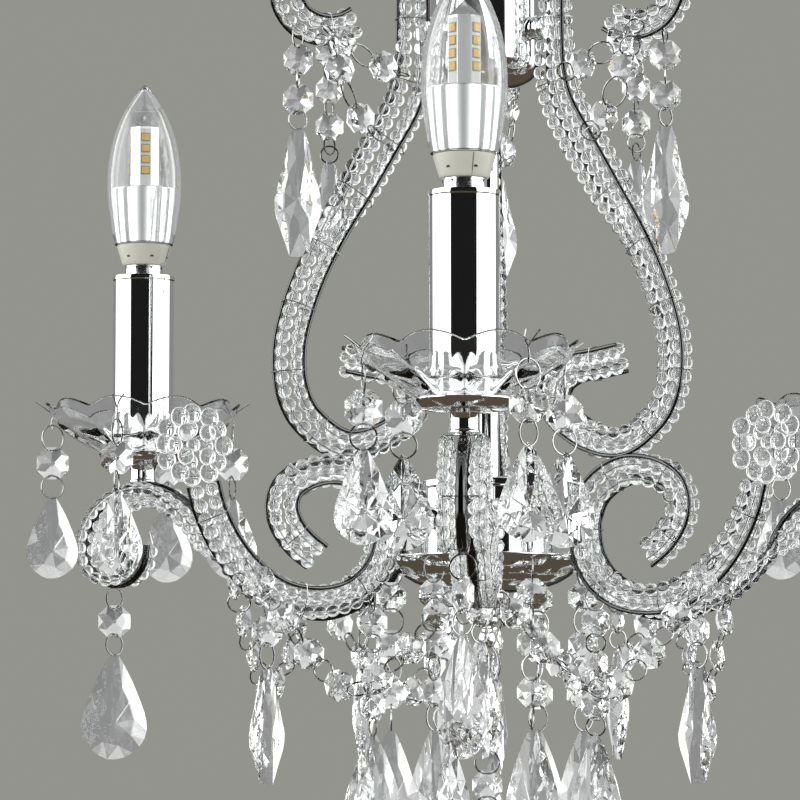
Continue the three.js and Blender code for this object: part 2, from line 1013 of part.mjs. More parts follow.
// The arm drop hangs from the curl, between the candle's axis and the curl's outermost point.
const curlShare = Math.max(...candlePathShares.map(([out]) => out));
const curlReach = reachAt(curlShare, candleRoot, candleRadius);
const armDropRadius = reachAt(armDropShare, candleRadius, curlReach);
const topDropRadius = reachAt(topDropShare, topStart, topArmReach);
const scrollDropRadius = reachAt(scrollDropShare, scrollBack, rosetteReach);
const swagCandleRadius = reachAt(swagCandleShare, candleRoot, candleRadius);
const swagScrollRadius = reachAt(swagScrollShare, scrollBack, rosetteReach);
const armDropTop = hangUnder(candlePath, candleBandThick, armDropRadius);
const topDropTop = hangUnder(topPath, topBandThick, topDropRadius);
const scrollDropTop = hangUnder(scrollPath, scrollBandThick, scrollDropRadius);
const swagCandleHeight = lowestAt(candlePath, 0, swagCandleRadius);
const swagScrollHeight = lowestAt(scrollPath, 0, swagScrollRadius);
const centreTop = finialTip - seatGap;

// A point at an azimuth, a radius and a sideways offset, in the whole model's frame
function polar(azimuth, radius, sideways, height) {
  const out = new THREE.Vector3(Math.sin(azimuth), -Math.cos(azimuth), 0);
  const side = new THREE.Vector3(Math.cos(azimuth), Math.sin(azimuth), 0);
  return out.multiplyScalar(radius).addScaledVector(side, sideways).setZ(height);
}

function swagEnds(candleTurn, side) {
  const candleSide = candleBandWidth / 2 + seatGap + linkRadius;
  const scrollSide = scrollBandWidth / 2 + seatGap + linkRadius;
  return [
    polar(candleTurn, swagCandleRadius, side * candleSide, swagCandleHeight),
    polar(
      candleTurn + (side * armStep) / 2,
      swagScrollRadius,
      -side * scrollSide,
      swagScrollHeight,
    ),
  ];
}

// A swag hangs in an upright plane: a chain of octagons from one end to the other.
function swag(candleTurn, side) {
  const [start, end] = swagEnds(candleTurn, side);
  const pointAt = (share) => {
    const at = start.clone().lerp(end, share);
    at.z -= swagSag * (1 - Math.abs(2 * share - 1) ** swagPower);
    return at;
  };
  const samples = 200;
  const line = Array.from({ length: samples + 1 }, (_, i) => pointAt(i / samples));
  const curve = new THREE.CatmullRomCurve3(line);
  const level = end.clone().sub(start).setZ(0).normalize();
  const through = new THREE.Vector3().crossVectors(level, new THREE.Vector3(0, 0, 1));
  const total = curve.getLength();
  const pitch = total / swagOctagons;
  const half = octagonSize / 2;
  const stations = [];
  const add = (distance, halfWidth, halfThick) => {
    const at = curve.getPointAt(distance / total);
    const ahead = curve.getTangentAt(distance / total);
    const across = new THREE.Vector3().crossVectors(through, ahead).normalize();
    stations.push({ at, across, through, halfWidth, halfThick });
  };
  add(0, linkRadius, linkRadius);
  for (let i = 0; i < swagOctagons; i++) {
    const middle = (i + 1 / 2) * pitch;
    add(middle - half, linkRadius, linkRadius);
    add(middle, half, octagonThick / 2);
    add(middle + half, linkRadius, linkRadius);
  }
  add(total, linkRadius, linkRadius);
  return loft(stations);
}

// Assembly
const chandelier = new THREE.Group();
const model = new THREE.Group();
model.position.z = -eyeHeight;
chandelier.add(model);

function place(name, geometry, look, group) {
  const mesh = new THREE.Mesh(geometry, look);
  mesh.name = name;
  (group ?? model).add(mesh);
  return mesh;
}

function turnedGroup(azimuth) {
  const group = new THREE.Group();
  group.rotation.z = azimuth - Math.PI / 2;
  model.add(group);
  return group;
}

place("hanging_ring", hangingRing(), chrome);
place("top_cap", topCap(), chrome);
place("upper_hub", upperHub(), chrome);
place("centre_stem", centreStem(), chrome);
place("lower_hub", lowerHub(), chrome);
place("hub_dish", hubDish(), chrome);
place("bottom_finial", bottomFinial(), chrome);
place("terminal_block", terminalBlock(), terminalPlastic);

candleTurns.forEach((turn, i) => {
  const number = i + 1;
  const arm = turnedGroup(turn);
  place(`candle_arm_${number}`, candleArm(), beadedChrome, arm);
  const armDrop = place(`arm_drop_${number}`, strand(armDropLinks), cutAcrylic, arm);
  armDrop.position.set(armDropRadius, 0, armDropTop);
  const candle = new THREE.Group();
  candle.position.x = candleRadius;
  arm.add(candle);
  place(`drip_pan_${number}`, dripPan(), chrome, candle);
  place(`glass_cup_${number}`, glassCup(), pressedGlass, candle);
  place(`candle_sleeve_${number}`, candleSleeve(), chrome, candle);
  place(`lamp_holder_${number}`, lampHolder(), holderPlastic, candle);
  place(`bulb_body_${number}`, bulbBody(), aluminium, candle);
  place(`bulb_led_${number}`, bulbLed(), ledYellow, candle);
  place(`bulb_globe_${number}`, bulbGlobe(), envelopeGlass, candle);
  place(`swag_right_${number}`, swag(turn, 1), cutAcrylic);
  place(`swag_left_${number}`, swag(turn, -1), cutAcrylic);
});

scrollTurns.forEach((turn, i) => {
  const number = i + 1;
  const arm = turnedGroup(turn);
  place(`scroll_${number}`, scroll(), beadedChrome, arm);
  const flower = place(`rosette_${number}`, rosette(), cutAcrylic, arm);
  flower.position.set(rosetteReach, 0, rosetteHeight);
  flower.rotation.y = rosetteLean;
  place(`cage_arm_${number}`, cageArm(), beadedChrome, arm);
  place(`top_arm_${number}`, topArm(), beadedChrome, arm);
  const topDrop = place(`top_drop_${number}`, strand(topDropLinks), cutAcrylic, arm);
  topDrop.position.set(topDropRadius, 0, topDropTop);
  topDrop.rotation.z = Math.PI / 2;
  const scrollDrop = place(`scroll_strand_${number}`, strand(scrollDropLinks), cutAcrylic, arm);
  scrollDrop.position.set(scrollDropRadius, 0, scrollDropTop);
  scrollDrop.rotation.z = Math.PI / 2;
});

const centreStrand = place("centre_strand", strand(centreLinks), cutAcrylic);
centreStrand.position.z = centreTop;

export default chandelier;
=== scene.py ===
import math
import random

import bmesh
import bpy
import numpy as np
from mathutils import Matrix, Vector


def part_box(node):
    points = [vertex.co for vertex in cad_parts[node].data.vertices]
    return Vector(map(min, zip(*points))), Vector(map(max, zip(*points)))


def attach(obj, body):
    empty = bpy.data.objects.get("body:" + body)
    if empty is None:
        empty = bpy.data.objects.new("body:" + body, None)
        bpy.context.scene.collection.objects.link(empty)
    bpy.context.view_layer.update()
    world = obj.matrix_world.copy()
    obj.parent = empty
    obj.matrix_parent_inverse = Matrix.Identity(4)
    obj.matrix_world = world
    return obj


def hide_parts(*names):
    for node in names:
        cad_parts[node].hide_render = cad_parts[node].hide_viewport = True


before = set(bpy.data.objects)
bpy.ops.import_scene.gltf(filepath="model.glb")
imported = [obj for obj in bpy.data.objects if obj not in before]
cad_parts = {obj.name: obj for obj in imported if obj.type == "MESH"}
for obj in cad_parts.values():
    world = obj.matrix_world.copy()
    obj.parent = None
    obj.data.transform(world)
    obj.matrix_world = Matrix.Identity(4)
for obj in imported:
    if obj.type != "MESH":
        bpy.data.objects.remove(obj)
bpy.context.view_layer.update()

scene = bpy.context.scene
chance = random.Random(11)

# All sizes are in millimetres and heights stand over the same base datum as the solids'. The inside
# top of the hanging ring, which is the frame's origin, is at EYE. The camera's place is in metres.
EYE = 440.0
UP = np.array((0.0, 0.0, 1.0))
CANDLE_TURNS = (0, 120, 240)
SCROLL_TURNS = (60, 180, 300)
CANDLE_REACH = 202.8
BOSS_HEIGHT = 112.5
WIRE = 0.4
RING_GRIP = 2.0
RING_WIDTH = 11.4
CAMERA_PLACE = (0.0889, -1.958, -0.440)
CAMERA_TURN = (94.92, 0, 3.79)


# Camera, light and surroundings
def set_camera():
    camera = bpy.data.objects.new("camera", bpy.data.cameras.new("camera"))
    scene.collection.objects.link(camera)
    camera.location = CAMERA_PLACE
    camera.rotation_euler = [math.radians(a) for a in CAMERA_TURN]
    camera.data.lens = 188.1
    camera.data.sensor_width = 36
    camera.data.clip_end = 60
    scene.camera = camera


GREY = (0.292, 0.296, 0.270, 1)
PALE = (0.62, 0.62, 0.61, 1)
LOW_BROWN = (0.10, 0.08, 0.055, 1)


class Nodes:
    """A short way to add nodes to one tree and to link them."""

    def __init__(self, tree):
        self.tree = tree

    def add(self, kind, settings=None, **inputs):
        node = self.tree.nodes.new("ShaderNode" + kind)
        for key, value in (settings or {}).items():
            setattr(node, key, value)
        for key, value in inputs.items():
            self.feed(node, key.replace("_", " "), value)
        return node

    def feed(self, node, key, value):
        socket = node.inputs[int(key[1:]) if key[:1] == "n" and key[1:].isdigit() else key]
        if isinstance(value, bpy.types.NodeSocket):
            self.tree.links.new(value, socket)
        else:
            socket.default_value = value

    def math(self, operation, a, b=0.0, c=0.0):
        return self.add("Math", {"operation": operation}, n0=a, n1=b, n2=c).outputs[0]

    def mix(self, share, first, second):
        """One colour where the share is 0, and another where it is 1."""
        return self.add("Mix", {"data_type": "RGBA"}, n0=share, n6=first, n7=second).outputs[2]

    def steps(self, value, stops):
        """A ramp of grey levels. A stop is (place, level)."""
        ramp = self.add("ValToRGB", n0=value)
        band = ramp.color_ramp
        while len(band.elements) < len(stops):
            band.elements.new(1.0)
        for element, (place, level) in zip(band.elements, stops):
            element.position = place
            element.color = (level, level, level, 1)
        return ramp.outputs[0]


def set_surroundings():
    """Grey backdrop for the camera; tall soft boxes at both sides for metal and glass."""
    world = bpy.data.worlds.new("studio")
    world.use_nodes = True
    world.node_tree.nodes.clear()
    n = Nodes(world.node_tree)
    way = n.add("SeparateXYZ", n0=n.add("TexCoord").outputs["Generated"])
    x, y, z = way.outputs
    level = n.math("SQRT", n.math("ADD", n.math("MULTIPLY", x, x), n.math("MULTIPLY", y, y)))
    facing = n.math("MULTIPLY_ADD", n.math("DIVIDE", y, level), 0.5, 0.5)
    height = n.math("MULTIPLY_ADD", z, 0.5, 0.5)
    # Levels are a quarter of the brightness, because a ramp stops at 1.
    sides = n.steps(facing, [
        (0.0, 0.003), (0.125, 0.003), (0.15, 0.9), (0.30, 1.0), (0.56, 0.8), (0.72, 1.0), (0.765, 0.0)])
    low_and_high = n.steps(height, [
        (0.0, 0.05), (0.34, 0.04), (0.43, 1.0), (0.80, 1.0), (0.86, 0.35), (1.0, 0.5)])
    behind = n.steps(facing, [(0.72, 0.0), (0.765, 0.07)])
    table = n.steps(height, [(0.0, 0.10), (0.478, 0.10), (0.492, 1.0), (1.0, 1.0)])
    boxes = n.math("MULTIPLY", n.math("MULTIPLY", sides, low_and_high), 4.0)
    mirrored = n.math("MULTIPLY_ADD", n.math("MULTIPLY", behind, table), 4.0, boxes)
    # Straight through a crystal, the grey backdrop shows; bent light comes from soft boxes beside it.
    strips = n.steps(facing, [
        (0.0, 0.1), (0.045, 0.1), (0.08, 0.46), (0.26, 0.4), (0.29, 0.05), (0.35, 0.05), (0.38, 0.38),
        (0.62, 0.42), (0.65, 0.05), (0.71, 0.05), (0.74, 0.42), (0.92, 0.48), (0.955, 0.1), (1.0, 0.1)])
    tall = n.steps(height, [(0.0, 0.35), (0.30, 0.5), (0.42, 1.0), (0.80, 1.0), (0.86, 0.7), (1.0, 0.7)])
    over = n.steps(height, [
        (0.0, 0.12), (0.28, 0.24), (0.33, 0.0), (0.64, 0.0), (0.68, 0.22), (0.78, 0.3), (0.82, 0.05),
        (0.88, 0.5), (1.0, 0.5)])
    through = n.math("MULTIPLY", n.math("MAXIMUM", n.math("MULTIPLY", strips, tall), over), 2.8)
    ray = n.add("LightPath")
    plain = n.mix(ray.outputs["Is Camera Ray"], PALE, GREY)
    low = n.steps(height, [(0.33, 1.0), (0.4, 0.0)])
    metal = n.mix(ray.outputs["Is Glossy Ray"], plain, n.mix(low, mirrored, LOW_BROWN))
    # Light that was also mirrored inside the glass comes from a row of narrow boxes, which makes it sparkle.
    narrow = n.steps(facing, [
        (0.0, 0.16), (0.06, 0.9), (0.17, 0.9), (0.2, 0.14), (0.32, 0.14), (0.35, 1.0), (0.5, 1.0),
        (0.53, 0.14), (0.62, 0.14), (0.65, 1.0), (0.77, 1.0), (0.8, 0.16), (1.0, 0.16)])
    rows = n.steps(height, [
        (0.0, 0.1), (0.22, 0.15), (0.26, 0.8), (0.45, 1.0), (0.8, 1.0), (0.85, 0.3), (1.0, 0.6)])
    inner = n.math("MULTIPLY_ADD", n.math("MULTIPLY", narrow, rows), 2.5, 0.08)
    clear = n.mix(n.math("MINIMUM", ray.outputs["Glossy Depth"], 1.0), through, inner)
    light = n.add("Background", Color=n.mix(ray.outputs["Is Transmission Ray"], metal, clear))
    n.add("OutputWorld", Surface=light.outputs[0])
    scene.world = world


def set_lamps():
    for name, place, turn, size, power in (
        ("left_soft_box", (-1.7, -0.9, 0.3), (75, 0, -62), (1.0, 1.8), 16),
        ("right_soft_box", (1.8, -0.8, 0.2), (78, 0, 66), (1.0, 1.8), 13),
        ("top_soft_box", (0.1, 0.2, 1.6), (0, 0, 0), (1.4, 1.4), 12),
    ):
        lamp = bpy.data.lights.new(name, "AREA")
        lamp.shape = "RECTANGLE"
        lamp.size, lamp.size_y = size
        lamp.energy = power
        holder = bpy.data.objects.new(name, lamp)
        holder.location = place
        holder.rotation_euler = [math.radians(a) for a in turn]
        holder.visible_camera = holder.visible_glossy = holder.visible_transmission = False
        scene.collection.objects.link(holder)


def lay_floor():
    """A plain pale floor far below, which fades into the backdrop."""
    rings, sides, reach, depth = 12, 64, 7.0, -1.9
    corners = [(0, 0, depth)]
    for i in range(1, rings + 1):
        for k in range(sides):
            turn = 2 * math.pi * k / sides
            corners.append((reach * i / rings * math.sin(turn), reach * i / rings * math.cos(turn), depth))
    faces = [(0, 1 + (k + 1) % sides, 1 + k) for k in range(sides)]
    for i in range(rings - 1):
        faces += quads(1 + i * sides, 1 + (i + 1) * sides, sides)
    mesh = bpy.data.meshes.new("floor")
    mesh.from_pydata(corners, [], faces)
    finish = bpy.data.materials.new("pale_floor")
    finish.use_nodes = True
    finish.node_tree.nodes.clear()
    n = Nodes(finish.node_tree)
    away = n.add("VectorMath", {"operation": "LENGTH"}, n0=n.add("TexCoord").outputs["Object"])
    fade = n.steps(n.math("DIVIDE", away.outputs["Value"], reach), [(0.3, 0.0), (0.85, 1.0)])
    paint = n.add("BsdfDiffuse", Color=(0.5, 0.5, 0.49, 1))
    clear = n.add("BsdfTransparent")
    mixed = n.add("MixShader", n0=fade, n1=paint.outputs[0], n2=clear.outputs[0])
    n.add("OutputMaterial", Surface=mixed.outputs[0])
    mesh.materials.append(finish)
    floor = bpy.data.objects.new("floor", mesh)
    floor.visible_glossy = floor.visible_transmission = False
    scene.collection.objects.link(floor)


# Effects shared by the finishes
def effect(name, inputs, outputs):
    """A node group with named sockets. Returns the group, its nodes, its inputs and its output node."""
    group = bpy.data.node_groups.new(name, "ShaderNodeTree")
    for key, value in inputs.items():
        socket = group.interface.new_socket(name=key, in_out="INPUT", socket_type="NodeSocketFloat")
        socket.default_value = value
    for key in outputs:
        kind = "NodeSocketColor" if key == "Colour" else "NodeSocketFloat"
        group.interface.new_socket(name=key, in_out="OUTPUT", socket_type=kind)
    n = Nodes(group)
    return group, n, n.tree.nodes.new("NodeGroupInput").outputs, n.tree.nodes.new("NodeGroupOutput")


def polish_effect():
    """Hand-polished metal: cloudy gloss, hairline scratches and a faint tint that comes and goes."""
    group, n, given, out = effect(
        "hand_polish", {"Scale": 40, "Gloss": 0.04, "Dullest": 0.12, "Tint": 0.03, "Shade": 0.86},
        ["Roughness", "Colour", "Height"])
    where = n.add("TexCoord").outputs["Object"]
    cloud = n.add("TexNoise", Vector=where, Scale=given["Scale"], Detail=4.0)
    stretched = n.add("Mapping", Vector=where, Scale=(60, 60, 900))
    hair = n.add("TexNoise", Vector=stretched.outputs[0], Scale=3.0, Detail=2.0)
    rub = n.math("MULTIPLY", cloud.outputs[0], hair.outputs[0])
    n.feed(out, "Roughness", n.add("MapRange", Value=rub, From_Min=0.12, From_Max=0.42, To_Min=given["Gloss"],
                                   To_Max=given["Dullest"]).outputs[0])
    shade = n.math("SUBTRACT", given["Shade"], n.math("MULTIPLY", cloud.outputs[0], given["Tint"]))
    n.feed(out, "Colour", n.add("CombineColor", n0=n.math("MULTIPLY", shade, 0.985), n1=shade,
                                n2=n.math("MULTIPLY", shade, 1.01)).outputs[0])
    n.feed(out, "Height", hair.outputs[0])
    return group


def cast_effect():
    """Cast or pressed surface: slow ripples with fine pits, and a slight tint that follows the thickness."""
    group, n, given, out = effect(
        "cast_ripple", {"Scale": 90, "Pits": 0.15, "Tint": 0.03}, ["Colour", "Height"])
    where = n.add("TexCoord").outputs["Object"]
    ripple = n.add("TexNoise", Vector=where, Scale=given["Scale"], Detail=1.0)
    pits = n.add("TexNoise", Vector=where, Scale=n.math("MULTIPLY", given["Scale"], 14.0), Detail=2.0)
    n.feed(out, "Height", n.math("MULTIPLY_ADD", pits.outputs[0], given["Pits"], ripple.outputs[0]))
    shade = n.math("SUBTRACT", 1.0, n.math("MULTIPLY", ripple.outputs[0], given["Tint"]))
    n.feed(out, "Colour", n.add("CombineColor", n0=n.math("MULTIPLY", shade, 0.985), n1=shade,
                                n2=n.math("MULTIPLY", shade, 0.992)).outputs[0])
    return group


# Finishes
def new_finish(name, **inputs):
    finish = bpy.data.materials.new(name)
    finish.use_nodes = True
    n = Nodes(finish.node_tree)
    shader = finish.node_tree.nodes["Principled BSDF"]
    for key, value in inputs.items():
        shader.inputs[key.replace("_", " ")].default_value = value
    return finish, n, shader


def raised(n, shader, height, depth, distance):
    bump = n.add("Bump", Height=height, Strength=depth, Distance=distance)
    n.feed(shader, "Normal", bump.outputs[0])


def placed(n, group, **values):
    """Puts a shared effect in a material with its own values, and returns its outputs."""
    node = n.tree.nodes.new("ShaderNodeGroup")
    node.node_tree = group
    for key, value in values.items():
        node.inputs[key].default_value = value
    return node.outputs


def metal_finish(name, polish, scale, gloss, dullest, tint, depth=0.03, shade=0.86):
    finish, n, shader = new_finish(name, Metallic=1.0)
    rub = placed(n, polish, Scale=scale, Gloss=gloss, Dullest=dullest, Tint=tint, Shade=shade)
    n.feed(shader, "Base Color", rub["Colour"])
    n.feed(shader, "Roughness", rub["Roughness"])
    raised(n, shader, rub["Height"], depth, 0.0001)
    return finish


def glass_finish(name, cast, ior, scale, pits, tint, depth, lets_light=False):
    finish, n, shader = new_finish(name, Transmission_Weight=1.0, IOR=ior, Roughness=0.0)
    ripple = placed(n, cast, Scale=scale, Pits=pits, Tint=tint)
    n.feed(shader, "Base Color", ripple["Colour"])
    raised(n, shader, ripple["Height"], depth, 0.0003)
    if lets_light:
        clear = n.add("BsdfTransparent")
        shadow = n.add("LightPath").outputs["Is Shadow Ray"]
        mixed = n.add("MixShader", n0=shadow, n1=shader.outputs[0], n2=clear.outputs[0])
        n.feed(n.tree.nodes["Material Output"], "Surface", mixed.outputs[0])
    return finish


def plastic_finish(name, cast, colour, scale, pits, depth, roughness):
    finish, n, shader = new_finish(name, Roughness=roughness)
    grain = placed(n, cast, Scale=scale, Pits=pits, Tint=0.06)
    shade = n.add("Mix", {"data_type": "RGBA", "blend_type": "MULTIPLY"}, n0=1.0, n6=(*colour, 1),
                  n7=grain["Colour"])
    n.feed(shader, "Base Color", shade.outputs[2])
    raised(n, shader, grain["Height"], depth, 0.0002)
    return finish


polish, cast = polish_effect(), cast_effect()
chrome = metal_finish("polished_chrome", polish, 45, 0.02, 0.07, 0.05)
aluminium = metal_finish("turned_aluminium", polish, 60, 0.06, 0.16, 0.08, 0.1)
wire_metal = metal_finish("silvered_wire", polish, 200, 0.1, 0.28, 0.25, shade=0.45)
cap_plate = metal_finish("plated_cap", polish, 80, 0.12, 0.3, 0.2)
# The rods' chrome is turned down to a tenth of its tone: painted darkness that stands in for the dark
# surroundings they reflect.
painted_dark_rod_chrome = metal_finish("rod_chrome_painted_dark", polish, 120, 0.05, 0.16, 0.05, shade=0.1)
crystal = glass_finish("cut_crystal", cast, 1.54, 120, 0.02, 0.03, 0.02)
bead_acrylic = glass_finish("clear_bead", cast, 1.36, 300, 0.1, 0.04, 0.06)
cup_glass = glass_finish("pressed_glass", cast, 1.45, 120, 0.05, 0.03, 0.1)
envelope_glass = glass_finish("thin_envelope_glass", cast, 1.47, 60, 0.02, 0.02, 0.02, lets_light=True)
ivory = plastic_finish("ivory_plastic", cast, (0.72, 0.70, 0.62), 260, 0.6, 0.15, 0.38)
# Black pieces sunk in the lamp collar's vents and the cap's notches: painted shade where the openings are
# dark.
vent_black = plastic_finish("vent_shadow", cast, (0.012, 0.012, 0.012), 200, 0.5, 0.2, 0.6)
board_white = plastic_finish("led_board", cast, (0.80, 0.80, 0.79), 400, 0.5, 0.1, 0.25)
board_grey = plastic_finish("led_mask", cast, (0.30, 0.29, 0.29), 400, 0.5, 0.1, 0.4)
phosphor = plastic_finish("yellow_phosphor", cast, (0.86, 0.55, 0.16), 900, 0.4, 0.2, 0.4)
holder_plastic = plastic_finish("moulded_holder", cast, (0.83, 0.81, 0.75), 200, 0.5, 0.2, 0.45)
terminal_plastic = plastic_finish("moulded_terminal", cast, (0.86, 0.85, 0.82), 240, 0.6, 0.2, 0.5)


# Forms, each (corners, faces)
def turned(profile, sides, closed=False):
    """A profile of (radius, height) turned round the Z axis. Closed joins its last point to its first."""
    corners, rows = [], []
    for radius, height in profile:
        if radius < 1e-6:
            rows.append([len(corners)] * sides)
            corners.append((0, 0, height))
            continue
        rows.append(range(len(corners), len(corners) + sides))
        for k in range(sides):
            turn = 2 * math.pi * k / sides
            corners.append((radius * math.sin(turn), -radius * math.cos(turn), height))
    faces = []
    for a, b in zip(rows, [*rows[1:], rows[0]] if closed else rows[1:]):
        for k in range(sides):
            j = (k + 1) % sides
            face = [a[k]] if a[k] == a[j] else [a[k], a[j]]
            face += [b[k]] if b[k] == b[j] else [b[j], b[k]]
            if len(face) > 2:
                faces.append(face)
    return np.array(corners, float), faces


def eased(profile, radius, steps=3, closed=False):
    """A profile with each corner between its ends worked round."""
    points = [np.array(p, float) for p in profile]
    last = len(points)
    rounded = []
    for i, at in enumerate(points):
        if not closed and i in (0, last - 1) or at[0] < 1e-6:
            rounded.append(at)
            continue
        before, after = points[i - 1], points[(i + 1) % last]
        back, on = before - at, after - at
        cut = min(radius, 0.45 * np.linalg.norm(back), 0.45 * np.linalg.norm(on))
        start, end = at + back / np.linalg.norm(back) * cut, at + on / np.linalg.norm(on) * cut
        for k in range(steps + 1):
            t = k / steps
            rounded.append(start * (1 - t) ** 2 + 2 * at * t * (1 - t) + end * t * t)
    return [tuple(p) for p in rounded]


def unit(v):
    return v / np.linalg.norm(v)


def runs(line):
    """How far along its line each point is."""
    return np.concatenate([[0.0], np.cumsum(np.linalg.norm(np.diff(line, axis=0), axis=1))])


def spaced(line, distances):
    """Points of a line at some distances along it."""
    along = runs(line)
    return np.stack([np.interp(distances, along, line[:, i]) for i in range(line.shape[1])], axis=1)


def smooth_line(points, gap=1.0):
    """Even points on the curve through some points, by the same centripetal rule as the solids' bands."""
    p = [np.array(q, float) for q in points]
    p = [2 * p[0] - p[1], *p, 2 * p[-1] - p[-2]]
    line = []
    for a, b, c, d in zip(p, p[1:], p[2:], p[3:]):
        ab, bc, cd = (math.sqrt(np.linalg.norm(q)) for q in (b - a, c - b, d - c))
        leave = ((b - a) / ab - (c - a) / (ab + bc) + (c - b) / bc) * bc
        reach = ((c - b) / bc - (d - b) / (bc + cd) + (d - c) / cd) * bc
        for t in np.linspace(0, 1, 24, endpoint=False):
            line.append(b + leave * t + (3 * c - 3 * b - 2 * leave - reach) * t**2
                        + (2 * b - 2 * c + leave + reach) * t**3)
    line = np.array([*line, p[-2]])
    length = runs(line)[-1]
    return spaced(line, np.linspace(0, length, max(2, round(length / gap) + 1)))


def headings(line, closed=False):
    """The direction of a line at each of its points."""
    if closed:
        ways = np.roll(line, -1, axis=0) - np.roll(line, 1, axis=0)
    else:
        ways = np.gradient(line, axis=0)
    return ways / np.linalg.norm(ways, axis=1)[:, None]


def quads(a, b, sides):
    """Faces between two closed rows of corners, which start at two places in the list of corners."""
    return [(a + k, a + (k + 1) % sides, b + (k + 1) % sides, b + k) for k in range(sides)]


def tube(line, radius, sides, closed=False, flat=1.0, side=None):
    """A round or flattened bar along a line, with closed ends."""
    line = np.array(line, float)
    ways = headings(line, closed)
    across = side if side is not None else unit(np.cross(ways[0], (0.31, 0.52, 0.79)))
    corners, faces = [], []
    count = len(line)
    for at, way in zip(line, ways):
        across = unit(across - way * across.dot(way))
        other = np.cross(way, across)
        for k in range(sides):
            turn = 2 * math.pi * (k + 0.5) / sides
            corners.append(at + across * radius * math.cos(turn) + other * radius * flat * math.sin(turn))
    for i in range(count if closed else count - 1):
        faces += quads(i * sides, (i + 1) % count * sides, sides)
    if not closed:
        faces += [tuple(range(sides))[::-1], tuple(range((count - 1) * sides, count * sides))]
    return np.array(corners), faces


def round_bead(width, sides, hole=0.12):
    r = width / 2
    profile = [(r * math.cos(a), r * math.sin(a)) for a in np.linspace(-1.42, 1.42, 7)]
    return turned([(hole * r, profile[0][1]), *profile, (hole * r, profile[-1][1])], sides, closed=True)


LOW_RIDGE = 0.78


def crown(rim, centre, per, brow_share, girdle, brow, top):
    """Both faces of a cut crystal.

    Main slices meet over its centre, and a row of smaller ones runs round the rim. On the ridge between
    them the corners are high and low by turns.
    """
    count = len(rim) // per
    belt = np.array([(rim[j * per] + rim[(j + 1) * per % len(rim)]) / 2 for j in range(count)])
    ridge = centre + (belt - centre) * brow_share
    corners, faces = [], []
    for s in (1, -1):
        corners += [(x, s * girdle, z) for x, z in rim]
        for j, (x, z) in enumerate(ridge):
            corners.append((x, s * (brow if (j + (s > 0)) % 2 else brow * LOW_RIDGE), z))
        corners.append((centre[0], s * top, centre[1]))
    span = len(rim) + count + 1
    for s in (0, span):
        b, peak = s + len(rim), s + span - 1
        for j in range(count):
            k = (j + 1) % count
            g = [s + (j * per + i) % len(rim) for i in range(per + 1)]
            faces += [(g[i], g[i + 1], b + j) for i in range(per)]
            faces += [(b + j, g[per], b + k), (b + j, b + k, peak)]
    faces += quads(0, span, len(rim))
    return np.array(corners, float), faces


def octagon(size, thick):
    """A cut octagon. Wide in X, long in Z."""
    turns = math.pi * (np.arange(8) + 0.5) / 4
    reach = size / 2 / math.cos(math.pi / 8)
    rim = np.stack([reach * np.sin(turns), reach * np.cos(turns)], axis=1)
    return crown(rim, np.zeros(2), 1, 0.66, 0.5, thick * 0.3, thick / 2)


# Outlines of the cut drops from the top down, as shares of the length and of the width.
ALMOND = [
    (0, 0.06), (0.05, 0.16), (0.12, 0.3), (0.27, 0.55), (0.45, 0.79), (0.58, 0.94), (0.68, 1), (0.78, 0.97),
    (0.88, 0.76), (0.95, 0.48), (0.99, 0.2)]
PENDELOQUE = [
    (0, 0.12), (0.04, 0.26), (0.1, 0.4), (0.3, 0.62), (0.48, 0.88), (0.58, 1), (0.68, 0.95), (0.8, 0.7),
    (0.92, 0.47), (0.99, 0.38)]
BALL = [
    (0, 0.06), (0.15, 0.14), (0.3, 0.33), (0.42, 0.6), (0.55, 0.87), (0.65, 0.98), (0.72, 1), (0.82, 0.88),
    (0.9, 0.66), (0.97, 0.35), (1, 0.1)]


def cut_drop(outline, length, width, thick):
    """A cut drop, whose main slices meet over its widest part. Wide in X, flat in Y."""
    side = np.array([(w * width / 2, -s * length) for s, w in outline])
    way = np.concatenate([side, side[::-1] * (-1, 1)])
    total = runs(np.concatenate([way, way[:1]]))[-1]
    count, per = 10, 3
    rim = spaced(np.concatenate([way, way[:1]]), (np.arange(count * per) + 0.5) * total / (count * per))
    low = max(o[0] for o in outline if o[1] == 1.0)
    return crown(rim, np.array((0.0, -low * length * 0.97)), per, 0.64, 0.04 * thick, thick * 0.3, thick / 2)


def wire_ring(length, width):
    """A wire ring in the XZ plane, from Z = 0 down, with a small gap where it was closed."""
    turns = np.linspace(0.03, 2 * math.pi - 0.03, 26)
    line = np.stack([np.cos(turns) * width / 2, 0 * turns, np.sin(turns) * length / 2 - length / 2], axis=1)
    return tube(line, WIRE, 6, side=np.array((0.0, 1.0, 0.0)))


